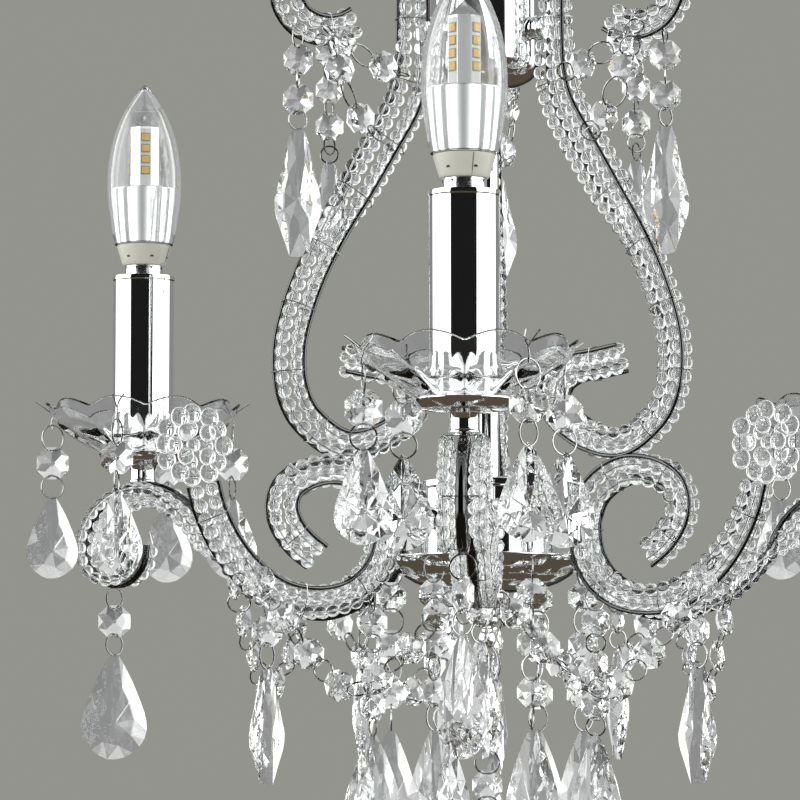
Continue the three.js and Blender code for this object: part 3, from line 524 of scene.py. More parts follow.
# The mesh of one piece
class Stock:
    """Corners, faces and the finish of each face, until they are made into one piece."""

    def __init__(self):
        self.corners, self.faces, self.finishes, self.smooth = [], [], [], []
        self.count = 0

    def add(self, form, finish=0, smooth=True, at=(0, 0, 0), x=(1, 0, 0), y=(0, 1, 0), z=(0, 0, 1)):
        """Adds a form with its own X, Y and Z turned to three directions."""
        corners, faces = form
        self.corners.append(corners @ np.array([x, y, z], float) + np.array(at, float))
        self.faces += [[self.count + i for i in face] for face in faces]
        self.finishes += [finish] * len(faces)
        self.smooth += [smooth] * len(faces)
        self.count += len(corners)
        return self

    def make(self, name, body, finishes, slot, replaces=()):
        corners = (np.concatenate(self.corners) - (0, 0, EYE)) / 1000
        mesh = bpy.data.meshes.new(name)
        mesh.from_pydata(corners.tolist(), [], self.faces)
        for finish in finishes:
            mesh.materials.append(finish)
        mesh.polygons.foreach_set("material_index", self.finishes)
        work = bmesh.new()
        work.from_mesh(mesh)
        bmesh.ops.recalc_face_normals(work, faces=work.faces)
        work.to_mesh(mesh)
        work.free()
        mesh.set_sharp_from_angle(angle=math.radians(40))
        mesh.polygons.foreach_set("use_smooth", self.smooth)
        mesh.update()
        piece = bpy.data.objects.new(name, mesh)
        scene.collection.objects.link(piece)
        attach(piece, body)
        if replaces:
            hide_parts(*replaces)


def outward(turn):
    a = math.radians(turn)
    return np.array((math.sin(a), -math.cos(a), 0.0)), np.array((math.cos(a), math.sin(a), 0.0))


def spot(turn, radius, height, sideways=0.0):
    out, side = outward(turn)
    return out * radius + side * sideways + UP * height


# Chrome hubs, stem, dish and fittings, each profile as (radius, height)
LOWER_HUB = [
    (6.3, 131), (28.5, 131), (32, 130.2), (32, 127.2), (31.2, 126.4), (30.8, 107), (31.2, 88.2), (32, 87.4),
    (32, 83.7), (30.6, 83.7), (29.4, 88), (29.4, 107), (29.4, 129.6), (6.3, 129.6)]
UPPER_HUB = [
    (6.3, 317), (10.6, 317), (16.5, 318.2), (21.5, 320.6), (25, 324.2), (26.5, 328.5), (26.5, 388),
    (25.1, 388), (25.1, 329), (22, 323), (16, 319.8), (10, 318.4), (6.3, 318.4)]
STEM = [(6, 74), (6, 403.9), (4, 403.9), (4, 74)]
CAP = [
    (28, 388.3), (28, 390.4), (22, 393.2), (16.5, 396.1), (11, 398.9), (6.3, 398.9), (6.3, 397.5),
    (9.6, 397.5), (15.1, 394.7), (26.6, 389), (26.6, 388.3)]
DISH = [
    (6.3, 78), (12, 78.1), (20.2, 78.7), (27.5, 80.3), (33.8, 82.6), (38.8, 85.6), (42.8, 89.1), (45.4, 92.2),
    (47, 94.6), (46.3, 95.3), (42.6, 90.6), (33.8, 84.0), (20.2, 80.0), (6.3, 79.3)]
FINIAL = [
    (0, 51.7), (1.6, 52), (2.9, 53), (4.0, 54.9), (4.3, 56.9), (3.8, 58.9), (2.6, 60.5), (2.7, 61.2),
    (4.6, 62.4), (5.7, 64.7), (5.4, 66.4), (4.1, 67.8), (4.1, 69.6), (5.3, 72), (8.2, 74.8), (8.6, 75.7),
    (8.6, 77.7), (6.3, 77.7), (6.3, 73.7), (0, 73.7)]
RING_COLLAR = [
    (6.3, 399.2), (8.5, 399.2), (8.5, 406.9), (7.4, 408.2), (5.1, 410.2), (4.2, 413), (3.9, 416), (0, 416),
    (0, 404.2), (6.3, 404.2)]
# The boss's heights are shares of its length, which runs from the hub's wall to the arm's root.
BOSS = [
    (5.5, 0.22), (5.0, 0.28), (5.0, 0.36), (5.9, 0.42), (5.9, 0.58), (5.0, 0.64), (5.0, 0.72), (5.5, 0.78),
    (5.5, 0.97), (4.9, 1.0), (0, 1.0)]
LOWER_WALL, CANDLE_ROOT, SCROLL_ROOT = 30.8, 45, 49
UPPER_WALL = 26.2
UPPER_ROOTS = ((343, 33.6), (377, 31.2))


def turned_piece(name, profile, replaces, ease=0.5, sides=96, closed=True):
    stock = Stock().add(turned(eased(profile, ease, closed=closed), sides, closed=closed))
    stock.make(name, "frame", [chrome], "chrome", [replaces])


def add_boss(stock, turn, height, inner, outer):
    """A ringed boss on a hub's wall, let into the wall and reaching out to the arm's root."""
    out, side = outward(turn)
    profile = [(0, -1.6), (5.5, -1.6)] + [(r, share * (outer - inner)) for r, share in BOSS]
    stock.add(turned(eased(profile, 0.3, 2), 40), at=spot(turn, inner, height), x=side, y=UP, z=out)


def build_hubs():
    lower = Stock().add(turned(eased(LOWER_HUB, 0.6, closed=True), 112, True))
    for turn in CANDLE_TURNS:
        add_boss(lower, turn, BOSS_HEIGHT, LOWER_WALL, CANDLE_ROOT)
    for turn in SCROLL_TURNS:
        add_boss(lower, turn, BOSS_HEIGHT, LOWER_WALL, SCROLL_ROOT)
    lower.make("lower_hub_shell", "frame", [chrome], "chrome", ["lower_hub"])
    upper = Stock().add(turned(eased(UPPER_HUB, 1.6, closed=True), 112, True))
    for turn in SCROLL_TURNS:
        for height, root in UPPER_ROOTS:
            add_boss(upper, turn, height, UPPER_WALL, root)
    upper.make("upper_hub_shell", "frame", [chrome], "chrome", ["upper_hub"])


def build_stem():
    turned_piece("stem_tube", STEM, "centre_stem", sides=64)
    turned_piece("cap_shell", CAP, "top_cap", 0.9)
    turned_piece("dish_shell", DISH, "hub_dish", 0.7)
    turned_piece("finial_knob", FINIAL, "bottom_finial", 0.35, closed=False)
    turns = np.linspace(0, 2 * math.pi, 96, endpoint=False)
    eye = np.stack([13.5 * np.sin(turns), 0 * turns, 429 + 13.5 * np.cos(turns)], axis=1)
    ring = Stock().add(tube(eye, 2.5, 24, closed=True)).add(turned(eased(RING_COLLAR, 0.5), 72))
    ring.make("ring_and_collar", "frame", [chrome], "chrome", ["hanging_ring"])


# Beaded arms
def shares_path(shares, near, far, low, high):
    return [(near + (far - near) * s, low + (high - low) * u) for s, u in shares]


CANDLE_PATH = shares_path([
    (0, 0.79), (0, 0.53), (0.028, 0.325), (0.105, 0.14), (0.258, 0), (0.372, 0.022), (0.49, 0.103),
    (0.608, 0.318), (0.706, 0.54), (0.805, 0.79), (0.916, 0.963), (1, 1), (1.08, 0.95), (1.158, 0.81),
    (1.197, 0.61), (1.186, 0.43), (1.138, 0.33), (1.07, 0.325), (1.025, 0.43), (1.014, 0.58),
], 50.3, CANDLE_REACH, 73, 131.4)
SCROLL_PATH = shares_path([
    (0.354, 0.33), (0.448, 0.437), (0.516, 0.574), (0.537, 0.72), (0.49, 0.885), (0.385, 0.977), (0.24, 1),
    (0.125, 0.93), (0.045, 0.8), (0.005, 0.65), (0, 0.5), (0.023, 0.331), (0.089, 0.17), (0.208, 0.045),
    (0.375, 0), (0.552, 0.048), (0.708, 0.202), (0.828, 0.412),
], 54, 150, 72.5, 134.4) + [(141.6, 113.4), (145, 124.9)]
CAGE_PATH = shares_path([
    (0, 1), (0, 0.908), (0.005, 0.817), (0.07, 0.743), (0.243, 0.656), (0.464, 0.551), (0.7, 0.441),
    (0.89, 0.326), (1, 0.21), (0.975, 0.115), (0.826, 0.042), (0.575, 0), (0.29, 0.016), (0.085, 0.058),
    (-0.01, 0.104), (0.015, 0.144), (0.145, 0.17), (0.37, 0.179), (0.575, 0.188),
], 38.6, 102, 143.8, 362)
TOP_PATH = shares_path([
    (0, 0.647), (0.07, 0.647), (0.18, 0.765), (0.322, 0.933), (0.514, 1), (0.72, 0.933), (0.884, 0.748),
    (0.98, 0.496), (1, 0.26), (0.918, 0.076), (0.774, 0), (0.623, 0.017), (0.514, 0.092),
], 31.5, 104.5, 338.5, 398)


def between(value, low, high):
    """0 below low, 1 above high, and a smooth rise between."""
    t = np.clip((value - low) / (high - low), 0, 1)
    return t * t * (3 - 2 * t)


# A shape gives, along a line, how far it is raised, how far its section is open and how far the sides
# of its rows are swapped.
def cage_shape(line):
    """The cage's low run lies on the scroll and is raised a little; its upper slope opens out."""
    h = line[:, 1]
    opening = between(h, 235, 275) * (1 - between(h, 322, 345))
    return 1.5 * (1 - between(h, 150, 162)), opening, 0 * h


def scroll_shape(line):
    """The scroll's top run is lowered to make room for the cage's; its lower run opens out."""
    r, h = line[:, 0], line[:, 1]
    opening = 0.3 * between(r, 85, 110) * (1 - between(h, 90, 115))
    return -1.5 * between(h, 120, 131) * (1 - between(r, 100, 112)), opening, 0 * h


def candle_shape(line):
    """The tube lies under the dip and over the crest, and the bead rows change sides with it."""
    r = line[:, 0]
    return 0 * r, 0 * r, between(r, 138, 172)


def plain_shape(line):
    return 0 * line[:, 0], 0 * line[:, 0], 0 * line[:, 0]


class Band:
    """A band in one radial plane: a centre line with the directions across its thickness and its width.

    A place in its section is (up, across) or, where the band opens out, (up, across, open up, open across).
    """

    def __init__(self, path, turn, shape):
        flat = smooth_line(path)
        out, self.side = outward(turn)
        lift, self.open, self.swap = shape(flat)
        ways = headings(flat)
        self.line = flat[:, :1] * out + (flat[:, 1] + lift)[:, None] * UP
        self.over = -ways[:, 1:] * out + ways[:, :1] * UP
        self.length = runs(self.line)[-1]

    def beside(self, place):
        up, across, *wider = place
        open_up, open_across = wider or (up, across)
        up = up + (open_up - up) * self.open
        across = across + (open_across - across) * self.open
        if self.swap.any():
            # A pair of rows turns about its own middle; what lies on the centre line crosses over.
            hand = np.sign(place[1])
            middle_up, middle_across = 0.2 * abs(hand), 6.5 * hand
            roll = math.pi * self.swap * (hand if hand else 1)
            u, v = up - middle_up, across - middle_across
            up = middle_up * np.cos(math.pi * self.swap) + u * np.cos(roll) - v * np.sin(roll)
            across = middle_across + (u * np.sin(roll) + v * np.cos(roll) if hand else v * (1 + 0 * roll))
        return self.line + self.over * np.reshape(up, (-1, 1)) + self.side * np.reshape(across, (-1, 1))

    def section(self, distance, places):
        """Corners round the band at a distance along its centre line."""
        along = runs(self.line)
        corners = []
        for place in places:
            corners.append([np.interp(distance, along, row) for row in self.beside(place).T])
        return np.array(corners)


def rolled(a, b, roll):
    """Two directions turned by an angle in their own plane."""
    return a * math.cos(roll) + b * math.sin(roll), b * math.cos(roll) - a * math.sin(roll)


def add_bead_row(stock, line, bead, pitch, side, longer):
    """Beads threaded on a line, a little askew."""
    length = runs(line)[-1]
    count = max(1, round(length / pitch))
    stretch = length / count / pitch
    distances = (np.arange(count) + 0.5) * length / count
    places, ahead = spaced(line, distances), spaced(line, distances + 0.5)
    behind = spaced(line, distances - 0.5)
    for at, way in zip(places, ahead - behind):
        way = unit(unit(way) + np.array([chance.uniform(-0.06, 0.06) for _ in range(3)]))
        roll = chance.uniform(0, math.pi)
        across = unit(side - way * way.dot(side))
        across, other = rolled(across, np.cross(way, across), roll)
        stock.add(bead, at=at, x=across, y=other, z=way * stretch * longer)


# In a slim band each rod has a bead row on both sides; the rows lie closer where the band is narrow.
SLIM_ROWS = [(5.0, 2.0, 8.5, 0.8), (1.9, -3.3, 3.1, -1.4), (-1.9, 3.3, -3.1, 1.4), (-5.0, -2.0, -8.5, -0.8)]
SLIM_LOOP = [
    (8.2, 2.0, 11.7, 0.8), (7.2, -4.4, 7.6, -4.8), (1.9, -6.5, 3.1, -4.6), (-5.0, -5.2, -8.5, -4.0),
    (-8.2, -2.0, -11.7, -0.8), (-7.2, 4.4, -7.6, 4.8), (-1.9, 6.5, -3.1, 4.6), (5.0, 5.2, 8.5, 4.0)]
SLIM_RODS = [(5.9, -3.9, 6.4, -3.6), (-5.9, 3.9, -6.4, 3.6)]
SLIM_ROD_RADIUS = 1.0
WIDE_ROWS = [(3.2, 7.6), (3.2, -7.6), (-2.8, 5.4), (-2.8, -5.4)]
WIDE_LOOP = [
    (6.4, 8), (6.4, -8), (4.4, -10.6), (-3.4, -8.7), (-6.0, -5.4), (-6.0, 5.4), (-3.4, 8.7), (4.4, 10.6)]
LEAD_TUBE = [(-4.5, 0)]
LEAD_TUBE_RADIUS, LEAD_TUBE_FLAT = 2.4, 0.75
BEAD_WIDTH, BEAD_PITCH = 6.0, 6.4
THREAD, TIE = 0.2, 0.25


def flipped(places):
    return [tuple(-value if i % 2 else value for i, value in enumerate(place)) for place in places]


def build_band(name, path, turn, shape, rows, loop, rods, rod_radius, rod_flat=1.0):
    """One beaded arm: rows of beads on wires, the rods that they are bound to, and the binding wire."""
    band = Band(path, turn, shape)
    beads, metal = Stock(), Stock()
    bead = round_bead(BEAD_WIDTH, 14)
    for row in rows:
        line = band.beside(row)
        add_bead_row(beads, line, bead, BEAD_PITCH, band.side, 0.985 * BEAD_PITCH / BEAD_WIDTH)
        metal.add(tube(line[::4], THREAD, 4), 1)
    for rod in rods:
        # The rods and the candle arm's tube take the darkened chrome: painted dark reflection.
        metal.add(tube(band.beside(rod)[::2], rod_radius, 12, flat=rod_flat, side=band.side), 0)
    ties = max(2, round(band.length / (BEAD_PITCH * 5)))
    for i in range(ties):
        distance = (i + 0.5) * band.length / ties
        if not 0.02 < np.interp(distance, runs(band.line), band.swap) < 0.98:
            metal.add(tube(band.section(distance, loop), TIE, 5, closed=True), 1)
    beads.make(f"{name}_beads", "frame", [bead_acrylic], "beaded_arm", [name])
    metal.make(f"{name}_rods", "frame", [painted_dark_rod_chrome, wire_metal], "beaded_arm", [name])


def build_arms():
    slim = SLIM_ROWS, SLIM_LOOP, SLIM_RODS
    for i, (candle_turn, scroll_turn) in enumerate(zip(CANDLE_TURNS, SCROLL_TURNS), 1):
        build_band(f"candle_arm_{i}", CANDLE_PATH, candle_turn, candle_shape, WIDE_ROWS, WIDE_LOOP, LEAD_TUBE,
                   LEAD_TUBE_RADIUS, LEAD_TUBE_FLAT)
        build_band(f"cage_arm_{i}", CAGE_PATH, scroll_turn, cage_shape, *slim, SLIM_ROD_RADIUS)
        build_band(f"top_arm_{i}", TOP_PATH, scroll_turn, plain_shape, *slim, SLIM_ROD_RADIUS)
        build_band(f"scroll_{i}", SCROLL_PATH, scroll_turn, scroll_shape, *map(flipped, slim),
                   SLIM_ROD_RADIUS)


# Each ring of the rosette's beads: count, reach, width, flatness and how far it leans to either side
ROSETTE_RINGS = ((12, 14.4, 9.4, 0.3, 1.5), (8, 7.6, 8.2, 0.32, 3.9), (1, 0, 7.0, 0.5, 0))
ROSETTE_REACH, ROSETTE_HEIGHT, HOOP_RADIUS = 150, 142.5, 14.4


def build_rosettes():
    """A flower of flattened clear beads in the radial plane, which lie over each other by turns."""
    for i, turn in enumerate(SCROLL_TURNS, 1):
        out, side = outward(turn)
        centre = spot(turn, ROSETTE_REACH, ROSETTE_HEIGHT)
        stock = Stock()
        for count, radius, width, flat, shift in ROSETTE_RINGS:
            bead = round_bead(width, 24, hole=0.03)
            for k in range(count):
                a = 2 * math.pi * k / count
                ray = out * math.sin(a) + UP * math.cos(a)
                at = centre + ray * radius + side * (shift if k % 2 else -shift)
                stock.add(bead, at=at, x=ray, y=np.cross(side, ray), z=side * flat)
        turns = np.linspace(0, 2 * math.pi, 48, endpoint=False)
        hoop = np.array([centre + (out * math.sin(a) + UP * math.cos(a)) * HOOP_RADIUS for a in turns])
        stock.add(tube(hoop, THREAD, 6, closed=True), 1)
        stock.make(f"rosette_flower_{i}", "frame", [bead_acrylic, wire_metal], "cut_drop", [f"rosette_{i}"])


# Strands, drops and swags
def add_chain(stock, top, links, wide):
    """Hangs links from a point. A link is (kind, length, ...). The crystals' broad side lies along wide."""
    at = np.array(top, float)
    wide = unit(np.array(wide, float))
    for kind, length, *size in links:
        sway = math.radians(chance.uniform(-16, 16) + (90 * chance.random() if kind == "ring" else 0))
        broad = wide * math.cos(sway) + np.cross(UP, wide) * math.sin(sway)
        through = np.cross(UP, broad)
        if kind == "ring":
            reach = length + 2 * RING_GRIP
            ring = wire_ring(reach, min([RING_WIDTH, reach, *size]))
            stock.add(ring, 1, at=at + UP * RING_GRIP, x=broad, y=through)
        elif kind == "octagon":
            stock.add(octagon(length, size[0]), 0, smooth=False, at=at - UP * length / 2, x=broad, y=through)
        else:
            stock.add(cut_drop(kind, length, *size), 0, smooth=False, at=at, x=broad, y=through)
        at = at - UP * length


def make_strand(name, body, top, links, wide, replaces=()):
    stock = Stock()
    add_chain(stock, top, links, wide)
    stock.make(name, body, [crystal, wire_metal], "cut_drop", replaces)


def octagons(count, gap, size=14):
    return [("octagon", size, 7), ("ring", gap)] * count


ARM_DROP = [("ring", 6.9), ("octagon", 16, 7), ("ring", 6.9), (ALMOND, 54, 33, 11)]
TOP_DROP = [("ring", 7.0, 5), *octagons(2, 4.9), (PENDELOQUE, 62, 22, 10)]
TOP_STRAND = [("ring", 3), *octagons(3, 4.5, 13), ("ring", 4), (PENDELOQUE, 46, 17, 9)]
SCROLL_DROP = [("ring", 8.4), *octagons(3, 5.1), (ALMOND, 50, 28, 10)]
CENTRE_DROP = [("ring", 13.8), *octagons(3, 7.2), (BALL, 54, 30, 28)]
DISH_STRAND = [("ring", 9.3), *octagons(3, 8.5), (ALMOND, 54, 26, 10)]
ROOT_STRAND = [("ring", 5.5), *octagons(1, 5, 12), (PENDELOQUE, 55, 19, 10)]
OUTER_STRAND = [("ring", 12), *octagons(1, 8), (PENDELOQUE, 55, 19, 10)]
FRONT = (1.0, 0.0, 0.0)
OBLIQUE = (0.5, -0.87, 0.0)

# Each hook's reach from the stem's axis and its height
ARM_HOOK, ROOT_HOOK = (220, 83.5), (70, 77.2)
TOP_HOOK, TOP_STRAND_HOOK = (98, 337.4), (80, 338)
SCROLL_HOOK, OUTER_HOOK = (59.3, 78.5), (113, 77.4)
DISH_HOOK = (45, 92.3)
FINIAL_TIP = (0, 0, 51.4)
# A swag hangs from a candle arm to the scroll beside it, and its ends lie to one side of the arms' middles.
SWAG_START, SWAG_END = (97, 72.8), (127, 89.2)
SWAG_START_SIDE, SWAG_END_SIDE = 10.7, 9.8
SWAG_SAG, SWAG_LINKS = 50.5, 7
# The top tier's small chains: reach, height and side of both ends, and the sag
TOP_CHAINS = (((89, 338, 9), (46, 319, 6), 3), ((86, 330, 10), (60, 289, 7), 9))


def build_strands():
    for i, (candle_turn, scroll_turn) in enumerate(zip(CANDLE_TURNS, SCROLL_TURNS), 1):
        side = outward(candle_turn)[1]
        make_strand(f"arm_drop_crystals_{i}", f"arm_drop_{i}", spot(candle_turn, *ARM_HOOK), ARM_DROP,
                    OBLIQUE if i == 1 else FRONT, [f"arm_drop_{i}"])
        make_strand(f"root_strand_{i}", "frame", spot(candle_turn, *ROOT_HOOK), ROOT_STRAND, side,
                    [f"candle_arm_{i}"])
        out = outward(scroll_turn)[0]
        make_strand(f"top_drop_crystals_{i}", f"top_drop_{i}", spot(scroll_turn, *TOP_HOOK), TOP_DROP, FRONT,
                    [f"top_drop_{i}"])
        hand = 1 if i == 3 else -1
        make_strand(f"top_strand_{i}", "frame", spot(scroll_turn, *TOP_STRAND_HOOK, -4 * hand), TOP_STRAND,
                    FRONT)
        chains = Stock()
        for (*start, start_side), (*end, end_side), sag in TOP_CHAINS:
            add_swag(chains, spot(scroll_turn, *start, start_side * hand),
                     spot(scroll_turn, *end, end_side * hand), sag, 2)
        chains.make(f"top_chains_{i}", "frame", [crystal, wire_metal], "cut_drop")
        make_strand(f"scroll_strand_crystals_{i}", f"scroll_strand_{i}", spot(scroll_turn, *SCROLL_HOOK),
                    SCROLL_DROP, out, [f"scroll_strand_{i}"])
        make_strand(f"outer_strand_{i}", "frame", spot(scroll_turn, *OUTER_HOOK), OUTER_STRAND, out,
                    [f"scroll_{i}"])
    dish = Stock()
    for k in range(6):
        add_chain(dish, spot(30 + 60 * k, *DISH_HOOK), DISH_STRAND, FRONT)
    dish.make("dish_strands", "frame", [crystal, wire_metal], "cut_drop", ["hub_dish"])
    make_strand("centre_strand_crystals", "centre_strand", FINIAL_TIP, CENTRE_DROP, FRONT, ["centre_strand"])


SWAG_OCTAGON, SWAG_RING_WIDTH = 14, 11


def add_swag(stock, start, end, sag, count):
    """A chain of octagons on rings that sags between two points."""
    shares = np.linspace(0, 1, 161)
    drop = sag * (1 - np.abs(2 * shares - 1) ** 1.4)
    line = start + (end - start) * shares[:, None] - UP * drop[:, None]
    level = unit((end - start) * (1, 1, 0))
    through = np.cross(level, UP)
    length = runs(line)[-1]
    pitch = length / count
    for i in range(count):
        middle = (i + 0.5) * pitch
        a, at, b = spaced(line, [middle - SWAG_OCTAGON / 2, middle, middle + SWAG_OCTAGON / 2])
        along = unit(a - b)
        sway = chance.uniform(-0.35, 0.35)
        broad, across = rolled(np.cross(through, along), through, sway)
        stock.add(octagon(SWAG_OCTAGON, 7), 0, smooth=False, at=at, x=broad, y=across, z=along)
    half_gap = (pitch - SWAG_OCTAGON) / 2
    for i in range(count + 1):
        a, b = spaced(line, [max(0, i * pitch - half_gap), min(length, i * pitch + half_gap)])
        along = unit(a - b)
        sway = chance.uniform(0.3, 1.5)
        lean = unit(np.cross(through, along) * math.cos(sway) + through * math.sin(sway))
        reach = np.linalg.norm(a - b) + 2 * RING_GRIP
        ring = wire_ring(reach, min(reach, SWAG_RING_WIDTH))
        stock.add(ring, 1, at=a + along * RING_GRIP, x=lean, y=np.cross(along, lean), z=along)


def build_swags():
    for i, turn in enumerate(CANDLE_TURNS, 1):
        for name, hand in (("right", 1), ("left", -1)):
            stock = Stock()
            start = spot(turn, *SWAG_START, hand * SWAG_START_SIDE)
            end = spot(turn + hand * 60, *SWAG_END, -hand * SWAG_END_SIDE)
            add_swag(stock, start, end, SWAG_SAG, SWAG_LINKS)
            stock.make(f"swag_{name}_crystals_{i}", f"swag_{name}_{i}", [crystal, wire_metal], "cut_drop",
                       [f"swag_{name}_{i}"])


# Candles: pan, cup, sleeve and lamp, each profile as (radius, height)
PAN = [
    (0, 136.5), (6.2, 136.5), (7, 137.6), (6.4, 139), (6.2, 143), (7, 146), (12, 146.2), (19.4, 147.2),
    (21.2, 149.6), (22, 151.4), (21.6, 152), (20.6, 151.4), (18.4, 149), (4.6, 149), (4.6, 152.3), (0, 152.3)]
SLEEVE = [
    (15.5, 152.6), (15.5, 155), (15.2, 155.4), (15.2, 237.6), (15.5, 238), (15.5, 240), (14.3, 240),
    (14.3, 152.6)]
HOLDER = [
    (0, 152.6), (10.8, 152.6), (10.8, 180), (10.2, 180.6), (10.2, 183.4), (10.8, 184), (10.8, 211),
    (13.5, 214), (13.5, 238), (7.4, 238), (7.4, 214), (0, 214)]
CUP = [
    (5, 149.3), (12, 149.3), (17.5, 149.4), (20, 150.8), (23, 152.9), (28, 155.5), (33, 158.2), (38, 161.5),
    (42.2, 165.3), (45.2, 169.4), (47.0, 172.4), (47.9, 173.9)]
CUP_PETALS = 10


def cup_form(notch):
    """Pressed glass with ten scallops. A pointed flute runs down from each notch between two petals."""
    profile = smooth_line(CUP, 1.4)
    sides = CUP_PETALS * 18
    turns = 2 * math.pi * np.arange(sides) / sides
    arc = np.abs(np.sin(CUP_PETALS / 2 * (turns - math.radians(notch))))
    r, h = profile[:, :1], profile[:, 1:]
    flare = np.clip((r - 24) / 24, 0, None) ** 2
    belly = between(r, 26, 40) * (1 - 0.4 * between(r, 43, 48))
    radius = r * (1 + (arc - 1) * flare * 1.2 / 48) + 2.2 * (arc - 0.6) * belly
    height = h + (arc - 0.5) * flare * 4.2
    shell = np.stack([radius * np.sin(turns), -radius * np.cos(turns), height], axis=2)
    along = np.gradient(shell, axis=0)
    around = np.roll(shell, -1, axis=1) - np.roll(shell, 1, axis=1)
    facing = np.cross(around, along)
    facing /= np.linalg.norm(facing, axis=2)[:, :, None]
    wall = 3.2 - 2.1 * between(r, 24, 43)
    flute = np.exp(-((arc / 0.34) ** 2)) * between(r, 19, 27) * (1 - between(r, 36, 44))
    outer = shell - facing * (1.1 * flute)[:, :, None]
    inner = shell - facing * (wall + 0 * arc)[:, :, None]
    lip = []
    for t in (0.2, 0.5, 0.8):
        lip.append(outer[-1:] * (1 - t) + inner[-1:] * t + (0, 0, 0.6 * math.sin(math.pi * t)))
    rows = np.concatenate([outer, *lip, inner[::-1]])
    faces = []
    for i in range(len(rows)):
        faces += quads(i * sides, (i + 1) % len(rows) * sides, sides)
    return rows.reshape(-1, 3), faces


CUP_PENDANT = [("ring", 9.0), ("octagon", 16, 7), ("ring", 7.5), (ALMOND, 42, 26, 9)]
PENDANT_TURNS = (39, 111, 219, 291)
RIM_HOLE = (44.6, 169.5)
# The bent pin and the curled end of its wire, as (outward, sideways, up) from the hole in the rim
PIN = ((-4.5, 2, 8.5), (-2.6, 0, 4.6), (0, 0, 0), (0.8, 0, -3.0), (0.2, 0, -6.0))
WIRE_END = ((0.4, 0, 1.5), (5, 0, 5.2), (8.5, 0, 7.5))


def add_cup_pendants(stock, centre, turn):
    """Four pendants on bent pins that pass through the cup's rim under a notch."""
    reach, height = RIM_HOLE
    for place in PENDANT_TURNS:
        out, side = outward(turn + place)
        hole = centre + out * reach + UP * height
        for bends, radius in ((PIN, WIRE), (WIRE_END, WIRE * 0.8)):
            line = [hole + out * away + UP * up + side * across for away, across, up in bends]
            stock.add(tube(smooth_line(line), radius, 6), 1)
        add_chain(stock, hole - UP * 6.0, CUP_PENDANT, FRONT)


LAMP_TIP = [(0, 214.3), (4.2, 214.3), (4.6, 215), (6.2, 216.8)]
CAP_TOP = [(6.4, 239.8), (7, 240.3), (9.5, 240.3), (9.5, 245.3), (0, 245.3)]
LAMP_COLLAR = [
    (0, 245.4), (10.3, 245.4), (10.9, 246.6), (12.4, 251.6), (13.4, 255.2), (13.1, 255.7), (0, 255.7)]
COLLAR_SEAM = ((10.4, 245.9), (11.5, 248.6), (12.4, 251.6), (13.3, 255.1))
VENT = [(0, -0.6), (1.15, -0.6), (1.15, 0.22), (0, 0.22)]
NOTCH = [(0, -0.5), (0.95, -0.5), (0.95, 0.18), (0, 0.18)]
HEAT_SINK = [
    (0, 255.8), (13.6, 255.8), (14.0, 256.6), (15.2, 266), (16.3, 277), (16.7, 283.2), (16.3, 284),
    (13.4, 284), (12.8, 283.4), (0, 283.4)]
COLUMN = [(0, 284.3), (7.5, 284.3), (7.5, 314.6), (7.2, 314.9), (0, 321.8)]
ENVELOPE = [
    (14.5, 256), (15.9, 262.5), (17, 269.7), (18.2, 278), (18.5, 285), (18.3, 293), (17.2, 301.9),
    (15.6, 309.2), (13.5, 315.6), (10.8, 321.8), (7.8, 326.9), (4.8, 331.4), (2.2, 334.8)]
# Which way the first light board of each lamp faces
FIRST_FACES = (48, 0, 42)


def build_lamp_base(i, turn, centre):
    """Screw cap, vented collar and heat sink."""
    base = Stock()
    thread = []
    for k in range(8):
        low = 217.4 + k * 2.8
        thread += [(6.3, low), (6.9, low + 1.4)]
    base.add(turned(eased([*LAMP_TIP, *thread, *CAP_TOP], 0.3, 2), 64), 0, at=centre)
    base.add(turned(eased(LAMP_COLLAR, 0.5), 96), 1, at=centre)
    # Each vent is a black piece just under the collar's face: painted shade in the opening.
    for k in range(6):
        out, side = outward(turn + 27 + k * 60)
        lean = unit(out * 0.93 - UP * 0.36)
        up = unit(np.cross(lean, side))
        base.add(turned(VENT, 4), 2, smooth=False, at=centre + out * 11.45 + UP * 249.2, x=unit(side + up),
                 y=unit(up - side), z=lean)
    for seam in (20, 200):
        out = outward(turn + seam)[0]
        base.add(tube([centre + out * (r + 0.06) + UP * h for r, h in COLLAR_SEAM], 0.16, 5), 2)
    # The notches are black pieces too: painted shade in each notch.
    for k in range(8):
        out, side = outward(turn + 15 + k * 45)
        base.add(turned(NOTCH, 3), 2, smooth=False, at=centre + out * 9.4 + UP * 244.0, x=side, y=UP, z=out)
    base.add(turned(eased(HEAT_SINK, 0.35), 96), 3, at=centre)
    base.make(f"lamp_base_{i}", f"lamp_{i}", [cap_plate, ivory, vent_black, aluminium], "lamp_aluminium",
              [f"bulb_body_{i}"])


def add_plate(stock, face, side, out, width, low, high, depth, finish):
    """A thin plate on one face of the light column."""
    w, h = width / 2, (high - low) / 2
    corners = np.array([(x, y, z) for y in (-0.4, depth) for x in (-w, w) for z in (-h, h)])
    faces = [(0, 1, 3, 2), (4, 6, 7, 5), (0, 4, 5, 1), (2, 3, 7, 6), (0, 2, 6, 4), (1, 5, 7, 3)]
    stock.add((corners, faces), finish, smooth=False, at=face + UP * (low + high) / 2, x=side, y=out, z=UP)


